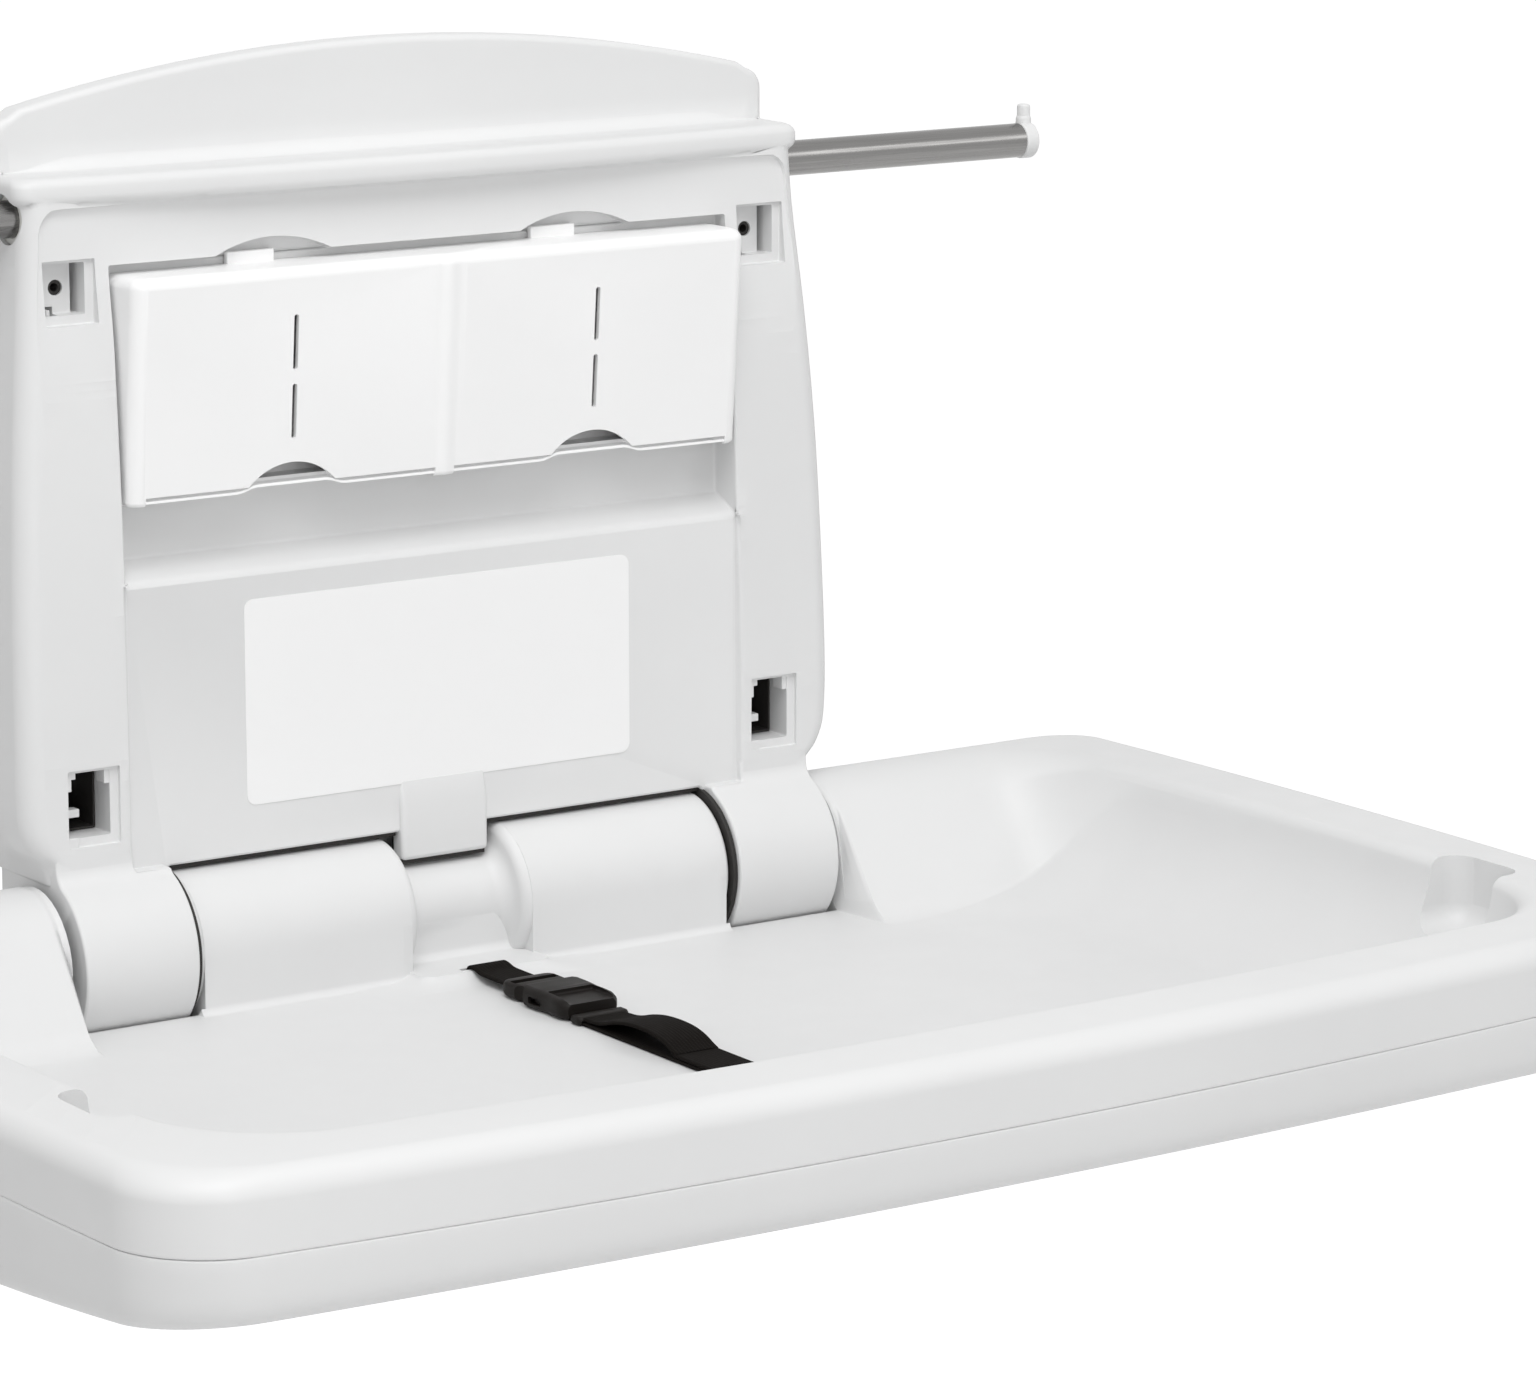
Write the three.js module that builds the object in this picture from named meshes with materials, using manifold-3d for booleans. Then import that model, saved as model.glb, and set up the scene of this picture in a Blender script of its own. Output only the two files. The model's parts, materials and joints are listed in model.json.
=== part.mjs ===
// Wall-mounted baby changing station, bed shown open. Millimetres, +Z up, +Y into the wall.
// The origin lies on the wall face of the back plate, on the centre line.
import * as THREE from 'three';
import { mergeVertices, toCreasedNormals } from 'three/addons/utils/BufferGeometryUtils.js';
import Module from 'manifold-3d';

const wasm = await Module();
wasm.setup();

// Hinge line and clearances
const HINGE_Y = -48.5;
const HINGE_Z = -200;
const GAP = 0.3;
const WALL = 3.5;

// Bed: outline in plan, levels above the hinge line
const BED_HALF = 422;
const SIDE_BOW = 7;
const BED_FRONT = 503;
const FRONT_BOW = 24;
const FRONT_CORNER = 40;
const REAR_CORNER = 20;
const BARREL_R = 37.5;
const RIM_TOP = BARREL_R;
const RIM_ROUND = 12;
const RIM_INNER_ROUND = 6;
const RIM_WIDTH = 51;
const PART_LINE = 2.6;
const FLOOR = -28.5;
const FLOOR_HALF = BED_HALF - 124;
const FLOOR_FRONT = BED_FRONT - 97;
const FLOOR_RIM = 24;
const BARREL_FILLET = 4;
const SHOULDER_FILLET = 23.5;
const SHOULDER_TURN = 35.7;
const FLOOR_CORNER = 92;
const FLOOR_REAR_CORNER = 60;
const FLOOR_BOW = 4;
const BASE_FRONT = -25.3;
const BASE_SLOPE = 0.12;
const BASE_RUN = 430;

// Hinge knuckles and the slots that clear them
const KNUCKLE_R = 43.5;
const KNUCKLE_IN = 157;
const KNUCKLE_OUT = 218;
const SLOT_IN = 154;
const SLOT_OUT = 225;
const SLOT_R = KNUCKLE_R + 1.7;
const CHEEK_T = 4;
const WEB_FOOT = -6;
const WEB_LOW = -16;
const PIN_R = 6;
const BUSH_R = 9;

// Tray details: stop-tongue relief, strap platform, rod-cap notches
const RELIEF_HALF = 30;
const RELIEF_R = 23;
const RELIEF_ROUND = 5;
const PLATFORM_TOP = -23.5;
const PLATFORM_HALF = 37;
const STRAP_SLOT_D = -48;
const SLOT_HALF = 14;

// Screws, posts and ribs
const BED_SCREWS = [[BED_HALF - 26, -90], [BED_HALF - 26, -250], [BED_HALF - 122, 37 - BED_FRONT],
  [105, 25 - BED_FRONT]];
const PLATE_SCREWS = [[120, 62, 56], [120, 162, 56], [120, 300, 38]];
const POST_R = 6;
const POST_SPLIT = -12;
const BOSS_R = 6;
const SCREW_R = 1.9;
const HEAD_R = 4;
const HEAD_DEEP = 7;
const RIB_T = 3;

// Wall unit: heights above the hinge line, depths from the wall
const PLATE_T = 2.5;
const FRAME_BACK = PLATE_T + GAP;
const PANEL_Y = 58;
const PANEL_FOOT = 40.5;
const PLATE_HALF = 205;
const PLATE_FOOT = 48;
const PLATE_HEAD = 396;
const PILLAR = [[38, 62.4, 219], [48, 62.6, 221.5], [57, 62.6, 229], [72, 62.6, 233.5], [110, 62.6, 234],
  [185, 60, 232], [235, 58, 229.5], [286, 55.2, 225.5], [335, 51.4, 221], [370, 50, 219]];
const PILLAR_EDGE = 11;
const TONGUE_HALF = 25;
const TONGUE_Y = 61;
const TONGUE_FOOT = 26;
const RECESS_Y = 40;
const SHELF_FRONT = 181;
const SHELF_BACK = 190;
const HEADER_FOOT = 334;
const BAY_HALF = 176;
const LEDGE_FOOT = 364;
const LEDGE_TOP = 377;
const LEDGE_Y = 60;
const LEDGE_HALF = 223;
const LEDGE_BOW = 10;
const LEDGE_CORNER = 14;
const LEDGE = [[LEDGE_FOOT - 4, 9], [LEDGE_FOOT, 2], [LEDGE_FOOT + 3, 0], [LEDGE_TOP - 4, 0],
  [LEDGE_TOP - 1, 1.2], [LEDGE_TOP, 4]];
const ARCH_TOP = 430.5;
const ARCH_END = 405;
const ARCH_HALF = 218;
const ARCH_Y = 19;
const ARCH_CORNER = 14;

// Mounting pockets in the pillars
const POCKET_IN = 183;
const POCKET_OUT = 211;
const UPPER_POCKET = [307, 338];
const LOWER_POCKET = [57, 95];
const UPPER_BACK = 30;
const LOWER_BACK = 18;
const SCREW_HOLE_R = 3.8;

// Bag rod
const ROD_R = 9;
const ROD_Y = 32;
const ROD_H = 357.3;
const ROD_HALF = 373;
const CAP_T = 8;
const NIB_R = 3.5;
const NIB_RISE = 10;

// Notches in the bed's rim that clear the rod's caps when it is shut
const NOTCH_OUT = ROD_HALF + 15;
const NOTCH_FRONT = ROD_H + 24;
const NOTCH_REAR = ROD_H - 26;
const NOTCH_FOOT = -HINGE_Y - ROD_Y - ROD_R - 4.5;

// Liner dispenser
const COVER_HALF = 174;
const COVER_FOOT = 223;
const COVER_TOP = 329;
const COVER_FOOT_Y = 63.7;
const COVER_TOP_Y = 71.5;
const COVER_T = 2.5;
const COVER_BACK = RECESS_Y + GAP;
const DIVIDER = 5;
const RIB_R = 6;
const RIB_PROUD = 1.5;
const RIB_FOOT = 216;
const BIN_IN = 8;
const BIN_T = 2.5;
const BIN_FOOT = 216;
const LATCH_HALF = 32;
const LATCH_RISE = 7.5;
const MOON_X = 86;
const MOON_HALF = 24;
const MOON_RISE = 10.5;
const WINDOW_W = 2.4;
const WINDOWS = [[245, 272], [279, 306]];

// Strap and buckle
const STRAP_W = 25;
const STRAP_T = 1.8;
const BUCKLE_W = 34;
const BUCKLE_H = 12;
const BUCKLE_REAR = -80;
const BUCKLE_LEN = 66;
const TONGUE_LEN = 22;
const PRONG = 18;
const STRAP_END = FLOOR_FRONT + 12;
const ADJUSTER = -152;

// Finishes
const paint = (color, roughness, metalness = 0) => () =>
  new THREE.MeshStandardMaterial({ color, roughness, metalness });
const platinum = paint(0xe4e5e6, 0.55);
const white = paint(0xf6f6f6, 0.45);
const steel = paint(0xb8babd, 0.35, 0.9);
const satin = paint(0xa9abae, 0.3, 0.9);
const nylon = paint(0xd9d9d6, 0.5);
const webbing = paint(0x1d1a19, 0.85);
const acetal = paint(0x17161a, 0.45);

const station = new THREE.Group();
station.name = 'baby_changing_station';
const wallUnit = new THREE.Group();
wallUnit.name = 'wall_unit';
const bed = new THREE.Group();
bed.name = 'bed';
const strapHalf = new THREE.Group();
strapHalf.name = 'buckle_half';
station.add(wallUnit, bed, strapHalf);

// Solid helpers
function solid(geometry) {
  let g = geometry.clone();
  g.deleteAttribute('normal');
  g.deleteAttribute('uv');
  g = mergeVertices(g, 1e-5);
  const vertProperties = new Float32Array(g.attributes.position.array);
  const triVerts = new Uint32Array(g.index.array);
  return new wasm.Manifold(new wasm.Mesh({ numProp: 3, vertProperties, triVerts }));
}

function join(solids) {
  return solids.reduce((a, b) => a.add(b));
}

function toGeometry(body) {
  const m = body.getMesh();
  const g = new THREE.BufferGeometry();
  g.setAttribute('position', new THREE.BufferAttribute(new Float32Array(m.vertProperties), 3));
  g.setIndex(new THREE.BufferAttribute(new Uint32Array(m.triVerts), 1));
  return g;
}

function piece(parent, name, shape, finish) {
  const geometry = shape.isBufferGeometry ? shape : toGeometry(shape);
  const mesh = new THREE.Mesh(toCreasedNormals(geometry, 0.6), finish());
  mesh.name = name;
  parent.add(mesh);
  return mesh;
}

function box(x0, x1, y0, y1, z0, z1) {
  const g = new THREE.BoxGeometry(x1 - x0, y1 - y0, z1 - z0);
  return solid(g.translate((x0 + x1) / 2, (y0 + y1) / 2, (z0 + z1) / 2));
}

function rodX(r, x0, x1, y, z, sides = 16) {
  const g = new THREE.CylinderGeometry(r, r, x1 - x0, sides).rotateZ(Math.PI / 2);
  return solid(g.translate((x0 + x1) / 2, y, z));
}

function rodY(r, y0, y1, x, z, sides = 12) {
  const g = new THREE.CylinderGeometry(r, r, y1 - y0, sides);
  return solid(g.translate(x, (y0 + y1) / 2, z));
}

function rodZ(r, z0, z1, x, y, sides = 8) {
  const g = new THREE.CylinderGeometry(r, r, z1 - z0, sides).rotateX(Math.PI / 2);
  return solid(g.translate(x, y, (z0 + z1) / 2));
}

// A (y, z) outline extruded from x0 to x1
function prismX(outline, x0, x1) {
  const shape = new THREE.Shape(outline.map(([y, z]) => new THREE.Vector2(y, z)));
  const g = new THREE.ExtrudeGeometry(shape, { depth: x1 - x0, bevelEnabled: false });
  const turn = new THREE.Matrix4().set(0, 0, 1, x0, 1, 0, 0, 0, 0, 1, 0, 0, 0, 0, 0, 1);
  return solid(g.applyMatrix4(turn));
}

// An (x, z) outline extruded from y0 to y1
function prismY(outline, y0, y1) {
  const shape = new THREE.Shape(outline.map(([x, z]) => new THREE.Vector2(x, z)));
  const g = new THREE.ExtrudeGeometry(shape, { depth: y1 - y0, bevelEnabled: false });
  const turn = new THREE.Matrix4().set(1, 0, 0, 0, 0, 0, -1, y1, 0, 1, 0, 0, 0, 0, 0, 1);
  return solid(g.applyMatrix4(turn));
}

// Skin over equal-length rings, closed at both ends by a flat fan, its hub shifted across by a distance
function loft(rings, shift = 0) {
  const n = rings[0].length;
  const points = rings.flat();
  const index = [];
  for (let j = 0; j + 1 < rings.length; j += 1) {
    for (let i = 0; i < n; i += 1) {
      const a = j * n + i;
      const b = j * n + (i + 1) % n;
      index.push(a, b, a + n, b, b + n, a + n);
    }
  }
  for (const [ring, start] of [[rings[0], 0], [rings.at(-1), (rings.length - 1) * n]]) {
    const centre = points.length;
    const hub = [0, 1, 2].map((k) => ring.reduce((s, p) => s + p[k], 0) / n);
    points.push([hub[0] + shift, hub[1], hub[2]]);
    for (let i = 0; i < n; i += 1) {
      const a = start + i;
      const b = start + (i + 1) % n;
      index.push(...(start === 0 ? [centre, b, a] : [centre, a, b]));
    }
  }
  const g = new THREE.BufferGeometry();
  g.setAttribute('position', new THREE.Float32BufferAttribute(points.flat(), 3));
  g.setIndex(index);
  return outward(g);
}

// Turns the faces round when the enclosed volume comes out negative
function outward(g) {
  const p = g.attributes.position;
  const t = g.index.array;
  const v = [0, 1, 2].map(() => new THREE.Vector3());
  let volume = 0;
  for (let i = 0; i < t.length; i += 3) {
    v.forEach((q, k) => q.fromBufferAttribute(p, t[i + k]));
    volume += v[0].dot(v[1].cross(v[2]));
  }
  if (volume < 0) {
    for (let i = 0; i < t.length; i += 3) {
      [t[i], t[i + 1]] = [t[i + 1], t[i]];
    }
  }
  return g;
}

const deg = Math.PI / 180;
const lerp = (a, b, t) => a + (b - a) * t;
const mirror = (make) => [-1, 1].map(make);
const sideName = (s) => (s < 0 ? 'left' : 'right');
const up = (h) => HINGE_Z + h;
const fore = (d) => HINGE_Y + d;

// An (x, y) outline extruded from z0 to z1
function prismZ(outline, z0, z1) {
  const shape = new THREE.Shape(outline.map(([x, y]) => new THREE.Vector2(x, y)));
  const g = new THREE.ExtrudeGeometry(shape, { depth: z1 - z0, bevelEnabled: false });
  return solid(g.translate(0, 0, z0));
}

// Boxes and prisms in hinge-line coordinates (bed) and in depth from the wall (wall unit)
const span = (a, b) => [Math.min(a, b), Math.max(a, b)];
const bedBox = ([x0, x1], d0, d1, h0, h1) => box(x0, x1, fore(d0), fore(d1), up(h0), up(h1));
const wallBox = ([x0, x1], deep0, deep1, h0, h1) => box(x0, x1, -deep0, -deep1, up(h0), up(h1));
const bedPrism = (outline, [x0, x1]) => prismX(outline.map(([d, h]) => [fore(d), up(h)]), x0, x1);
const wallPrism = (outline, [x0, x1]) => prismX(outline.map(([d, h]) => [-d, up(h)]), x0, x1);
const facePrism = (outline, deep0, deep1) => prismY(outline.map(([x, h]) => [x, up(h)]), -deep0, -deep1);

// Bed rings: a side, a front and a rear profile point joined round the plan outline
const TRAY_X = [0, 80, SLOT_IN - 1, SLOT_IN + 1, SLOT_IN + 4, SLOT_OUT + 1];
const BASE_X = [0, 100, 200];
const ARC = 5;
const FRONT_STEPS = 5;
const SIDE_STEPS = 3;

function bedRing({ rearX, side, front, rear, frontR, rearR, bow }, level = (z) => z) {
  const end = side[0] - SIDE_BOW;
  const rearTurn = Math.min(rearR, end - rearX.at(-1) - 3);
  const square = front[0] - bow;
  const [rearY, rearZ] = rear(BED_HALF);
  const right = rearX.map((x) => [x, ...rear(x)]);
  for (let k = 0; k <= ARC; k += 1) {
    const a = (1 - k / ARC) * 90 * deg;
    const z = lerp(side[1], rearZ, Math.sin(a) ** 2);
    right.push([end + rearTurn * (Math.cos(a) - 1), rearY + rearTurn * (Math.sin(a) - 1), z]);
  }
  const y0 = rearY - rearTurn;
  const y1 = frontR - square;
  for (let k = 1; k < SIDE_STEPS; k += 1) {
    right.push([end, lerp(y0, y1, k / SIDE_STEPS), side[1]]);
  }
  for (let k = 0; k <= ARC; k += 1) {
    const a = (k / ARC) * 90 * deg;
    const z = lerp(side[1], front[1], Math.sin(a) ** 2);
    right.push([end + frontR * (Math.cos(a) - 1), y1 - frontR * Math.sin(a), z]);
  }
  for (let k = 1; k <= FRONT_STEPS; k += 1) {
    right.push([(end - frontR) * (1 - k / FRONT_STEPS), -square, front[1]]);
  }
  const mid = (rearY - square) / 2;
  const reach = (rearY + square) / 2;
  const bent = right.map(([x, y, z]) => {
    const s = (y - mid) / reach;
    const pull = bow * (1 - (x / end) ** 2) * Math.max(0, (rearY - y) / (rearY + square));
    const wide = Math.abs(x) > SLOT_OUT + 2 ? 1 + SIDE_BOW * Math.max(0, 1 - s * s) / end : 1;
    return [x * wide, y - pull, level(z, y - pull)];
  });
  const left = bent.slice(1, -1).reverse().map(([x, y, z]) => [-x, y, z]);
  return [...bent, ...left].map(([x, y, z]) => [x, fore(y), up(z)]);
}

// Shifts a profile by the wall thickness towards the inside of the moulding
function inset(profile, t) {
  return profile.map((p, j) => {
    if (j === 0) {
      return [p[0] - t, p[1]];
    }
    const a = profile[j - 1];
    const b = profile[Math.min(profile.length - 1, j + 1)];
    const l = Math.hypot(b[0] - a[0], b[1] - a[1]);
    return [p[0] - t * (b[1] - a[1]) / l, p[1] + t * (b[0] - a[0]) / l];
  });
}

// Tray profile from the parting line over the rim and down to the floor
const ROUND_STEPS = 3;
const WALL_STEPS = 6;

function rimProfile(outer, floor) {
  const inner = outer - RIM_WIDTH;
  const path = [[outer, PART_LINE]];
  for (let k = 0; k <= ROUND_STEPS; k += 1) {
    const a = (k / ROUND_STEPS) * 90 * deg;
    path.push([outer - RIM_ROUND * (1 - Math.cos(a)), RIM_TOP - RIM_ROUND * (1 - Math.sin(a))]);
  }
  for (let k = 0; k < 3; k += 1) {
    const a = k * 30 * deg;
    const drop = RIM_INNER_ROUND * (1 - Math.cos(a));
    path.push([inner + RIM_INNER_ROUND * (1 - Math.sin(a)), RIM_TOP - drop]);
  }
  const top = RIM_TOP - RIM_INNER_ROUND;
  for (let k = 0; k <= WALL_STEPS; k += 1) {
    const a = (k / WALL_STEPS) * 90 * deg;
    path.push([inner - (inner - floor) * (1 - Math.cos(a)), top - (top - FLOOR) * Math.sin(a)]);
  }
  path.push([floor - FLOOR_RIM, FLOOR]);
  return path;
}

// Rear profile: over the hinge barrel, straight on from an angle, and a fillet to the floor
function rearProfile(count, leave, fillet) {
  const start = Math.asin(PART_LINE / BARREL_R);
  const bend = 90 * deg - leave;
  const turns = count - WALL_STEPS - 2;
  const path = [];
  for (let k = 0; k < turns; k += 1) {
    const a = lerp(start, Math.PI - leave, k / (turns - 1));
    path.push([BARREL_R * Math.cos(a), BARREL_R * Math.sin(a)]);
  }
  const drop = (BARREL_R * Math.sin(leave) - FLOOR) / Math.cos(leave);
  const foot = -BARREL_R * Math.cos(leave) - drop * Math.sin(leave) - fillet * Math.tan(bend / 2);
  for (let k = 0; k <= WALL_STEPS; k += 1) {
    const a = bend * (1 - k / WALL_STEPS);
    path.push([foot + fillet * Math.sin(a), FLOOR + fillet * (1 - Math.cos(a))]);
  }
  path.push([foot - FLOOR_RIM, FLOOR]);
  return path;
}

const sidePath = rimProfile(BED_HALF, FLOOR_HALF);
const frontPath = rimProfile(BED_FRONT, FLOOR_FRONT);
const shoulderPath = rearProfile(sidePath.length, SHOULDER_TURN * deg, SHOULDER_FILLET);
const barrelPath = rearProfile(sidePath.length, 0, BARREL_FILLET);
const ridgeEnd = shoulderPath.at(-2)[0];

function trayRings(t) {
  const paths = [sidePath, frontPath, shoulderPath, barrelPath];
  const [side, front, shoulder, barrel] = paths.map((path) => inset(path, t));
  return side.map((point, j) => {
    const share = (BED_HALF - sidePath[j][0]) / (BED_HALF - FLOOR_HALF);
    return bedRing({
      rearX: TRAY_X,
      side: point,
      front: front[j],
      rear: (x) => (x < SLOT_IN + 2 ? barrel[j] : shoulder[j]),
      frontR: lerp(FRONT_CORNER, FLOOR_CORNER, share),
      rearR: lerp(REAR_CORNER, FLOOR_REAR_CORNER, share),
      bow: lerp(FRONT_BOW, FLOOR_BOW, share),
    });
  });
}

const skin = trayRings(0);
const underside = trayRings(WALL).filter((_, j) => j < 2 || j % 2 === 1);
const level = (ring, h) => ring.map(([x, y]) => [x, y, up(h)]);
const trayShell = solid(loft([...skin.toReversed(), ...underside], PLATFORM_HALF * 2));
const middle = trayRings(WALL / 2);
const trayFull = solid(loft([...middle.toReversed(), level(middle[0], -60)]));

// Bed base: a shallow wedge, thickest at the hinge
function baseLevel(d) {
  const s = Math.min(BED_FRONT + d, BASE_RUN);
  return BASE_FRONT - BASE_SLOPE * (s - s * s / (2 * BASE_RUN));
}

const BASE_SIDE = [[0, 0], [0.6, 0.35], [1.4, 0.7], [4, 0.92], [10, 1], [45, 1], [98, 1], [180, 1]];
const BASE_REAR = [37.3, 34.5, 27, 15, 2, -40, -90, -163];

const RIB_TOP = FLOOR - WALL - GAP;

function baseRings(t, bottom) {
  return BASE_SIDE.map(([inward, down], j) => {
    const share = Math.min(1, inward / 180);
    const ring = {
      rearX: BASE_X,
      side: [BED_HALF - inward - t, down],
      front: [BED_FRONT - inward - t, down],
      rear: () => [BASE_REAR[j] - t, down],
      frontR: lerp(FRONT_CORNER, 60, share),
      rearR: lerp(REAR_CORNER, 12, share),
      bow: lerp(FRONT_BOW, 8, share),
    };
    return bedRing(ring, (k, d) => lerp(PART_LINE - GAP, bottom(d), k));
  });
}

const baseOuter = baseRings(0, baseLevel);
const baseInner = baseRings(WALL, (d) => Math.max(RIB_TOP, baseLevel(d) + WALL)).filter((_, j) => j > 3 || j % 2 === 0);
const baseShell = solid(loft([...baseInner.toReversed(), ...baseOuter]));

// Bed screws join the two mouldings through posts under the rim
const bedScrews = BED_SCREWS.flatMap(([x, d]) => mirror((s) => ({ x: s * x, d, side: sideName(s) })));
const post = (r, { x, d }, h0, h1) => rodZ(r, up(h0), up(h1), x, fore(d));

// Bed tray: cheeks at the hinge slots, central relief for the stop tongue, rod-cap notches
const cheeks = mirror((s) => [[SLOT_IN - CHEEK_T, SLOT_IN + 1], [SLOT_OUT - 1, SLOT_OUT + CHEEK_T]].flatMap(([a, b]) => {
  const x = span(s * a, s * b);
  return [bedBox(x, ridgeEnd + 5, WEB_FOOT, FLOOR - WALL, 40), bedBox(x, ridgeEnd + 5, 18, WEB_LOW, 40),
    bedBox(x, ridgeEnd + 5, 40, PART_LINE + 1, 40)];
})).flat();
const slotFloors = mirror((s) => bedBox(span(s * (SLOT_IN - 3), s * (SLOT_OUT + 3)), ridgeEnd - 6, -SLOT_R / 2,
  FLOOR - WALL + 0.2, FLOOR - 0.2));
const notch = (s, t) => bedBox(span(s * (NOTCH_OUT - 60), s * (NOTCH_OUT + t)),
  -NOTCH_FRONT - t, -NOTCH_REAR + t, NOTCH_FOOT - t, RIM_TOP + 5);
const reliefX = [-RELIEF_HALF - WALL, RELIEF_HALF + WALL];
const reliefBlock = bedBox(reliefX, -40, WEB_FOOT, FLOOR, 40).add(bedBox(reliefX, -40, 16, WEB_LOW, 40));
const platform = bedPrism([[-34, FLOOR - 1], [-34, PLATFORM_TOP], [-53, PLATFORM_TOP], [-59, FLOOR - 1]],
  [-PLATFORM_HALF, PLATFORM_HALF]);
const trayPosts = bedScrews.map((p) => post(POST_R, p, POST_SPLIT, RIM_TOP - 1));
const walls = join([...cheeks, ...mirror((s) => notch(s, WALL)), reliefBlock, ...trayPosts]);

// A groove round the hinge line with rolled shoulders
function reliefGroove() {
  const edge = [[RELIEF_R, RELIEF_HALF], [BARREL_R - RELIEF_ROUND, RELIEF_HALF]];
  for (let k = 1; k <= 3; k += 1) {
    const a = k * 30 * deg;
    edge.push([BARREL_R - RELIEF_ROUND * (1 - Math.sin(a)), RELIEF_HALF + RELIEF_ROUND * (1 - Math.cos(a))]);
  }
  edge.push([BARREL_R + 12, RELIEF_HALF + RELIEF_ROUND]);
  const outline = [...edge.map(([r, x]) => [r, -x]), ...edge.toReversed()];
  const points = [...outline, outline[0]].map(([r, x]) => new THREE.Vector2(r, x));
  const g = outward(mergeVertices(new THREE.LatheGeometry(points, 40).rotateZ(Math.PI / 2)));
  return solid(g.translate(0, HINGE_Y, HINGE_Z));
}

const relief = reliefGroove().intersect(bedBox([-RELIEF_HALF * 2, RELIEF_HALF * 2], -60, 14, PLATFORM_TOP, 45));
const slots = mirror((s) => {
  const x = span(s * SLOT_IN, s * SLOT_OUT);
  return rodX(SLOT_R, ...x, HINGE_Y, HINGE_Z, 48)
    .add(bedBox(x, ridgeEnd - 2, 60, FLOOR - 0.4, 60)).add(bedBox(x, 0, 60, -60, 60));
});
const bushBores = mirror((s) => rodX(BUSH_R + GAP, ...span(s * 140, s * 235), HINGE_Y, HINGE_Z));
const rearSlot = bedBox([-SLOT_HALF, SLOT_HALF], STRAP_SLOT_D - 1.7, STRAP_SLOT_D + 1.7, -60, 0);
const frontSlot = bedBox([-SLOT_HALF, SLOT_HALF], -FLOOR_FRONT - 34, -FLOOR_FRONT + 4, FLOOR - 0.2, FLOOR + 5);
const trayBores = bedScrews.map((p) => post(SCREW_R + GAP, p, POST_SPLIT - 1, 14));
const trayCuts = join([relief, ...slots, ...bushBores, rearSlot, frontSlot,
  ...mirror((s) => notch(s, 0)), ...trayBores]);
const tray = trayShell.add(walls.intersect(trayFull)).add(join([platform, ...slotFloors])).subtract(trayCuts);
piece(bed, 'bed_tray', tray, platinum);

// Bed base: cells between ribs, screw posts and knuckle wells
const RIB_X = [66, 196];
const RIB_D = [-291, -132];
const CELL_HALF = BED_HALF - 17;
const CELL_FRONT = 16 - FLOOR_FRONT;
const CELL_REAR = -4;

function cell([x0, x1], d0, d1) {
  const floor = [0, 0.5, 1].map((t) => lerp(d0, d1, t)).map((d) => [d, baseLevel(d) + WALL]);
  return bedPrism([[d0, RIB_TOP + 5], ...floor, [d1, RIB_TOP + 5]], [x0, x1]);
}

const clear = RIB_T / 2;
const columns = [
  [-CELL_HALF, -RIB_X[1] - clear], [clear - RIB_X[1], -RIB_X[0] - clear], [clear - RIB_X[0], RIB_X[0] - clear],
  [RIB_X[0] + clear, RIB_X[1] - clear], [RIB_X[1] + clear, CELL_HALF],
];
const rearColumns = [
  [-CELL_HALF, -SLOT_OUT - CHEEK_T], [CHEEK_T - SLOT_IN, -RIB_X[0] - clear], columns[2],
  [RIB_X[0] + clear, SLOT_IN - CHEEK_T], [SLOT_OUT + CHEEK_T, CELL_HALF],
];
const cells = [
  ...columns.map((x) => cell(x, CELL_FRONT, RIB_D[0] - clear)),
  ...columns.map((x) => cell(x, RIB_D[0] + clear, RIB_D[1] - clear)),
  ...rearColumns.map((x) => cell(x, RIB_D[1] + clear, CELL_REAR)),
];
const basePosts = bedScrews.map((p) => post(POST_R, p, baseLevel(p.d) + 1.5, POST_SPLIT - GAP));
const wells = mirror((s) => bedBox(span(s * (SLOT_IN - 1), s * (SLOT_OUT + 1)),
  -KNUCKLE_R - 2.5, 60, -KNUCKLE_R - 2, 20));
const baseBores = bedScrews.flatMap((p) => [
  post(SCREW_R + GAP, p, -60, 0),
  post(HEAD_R + GAP, p, -60, baseLevel(p.d) + HEAD_DEEP),
]);
const base = baseShell.subtract(join(cells)).add(join(basePosts)).subtract(join([...wells, ...baseBores]));
piece(bed, 'bed_base', base, platinum);
bedScrews.forEach((p, k) => {
  const seat = baseLevel(p.d) + HEAD_DEEP - GAP;
  const screw = post(HEAD_R, p, seat - 3, seat).add(post(SCREW_R, p, seat - 1, 10));
  piece(bed, `bed_screw_${Math.floor(k / 2) + 1}_${p.side}`, screw, steel);
});

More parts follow.
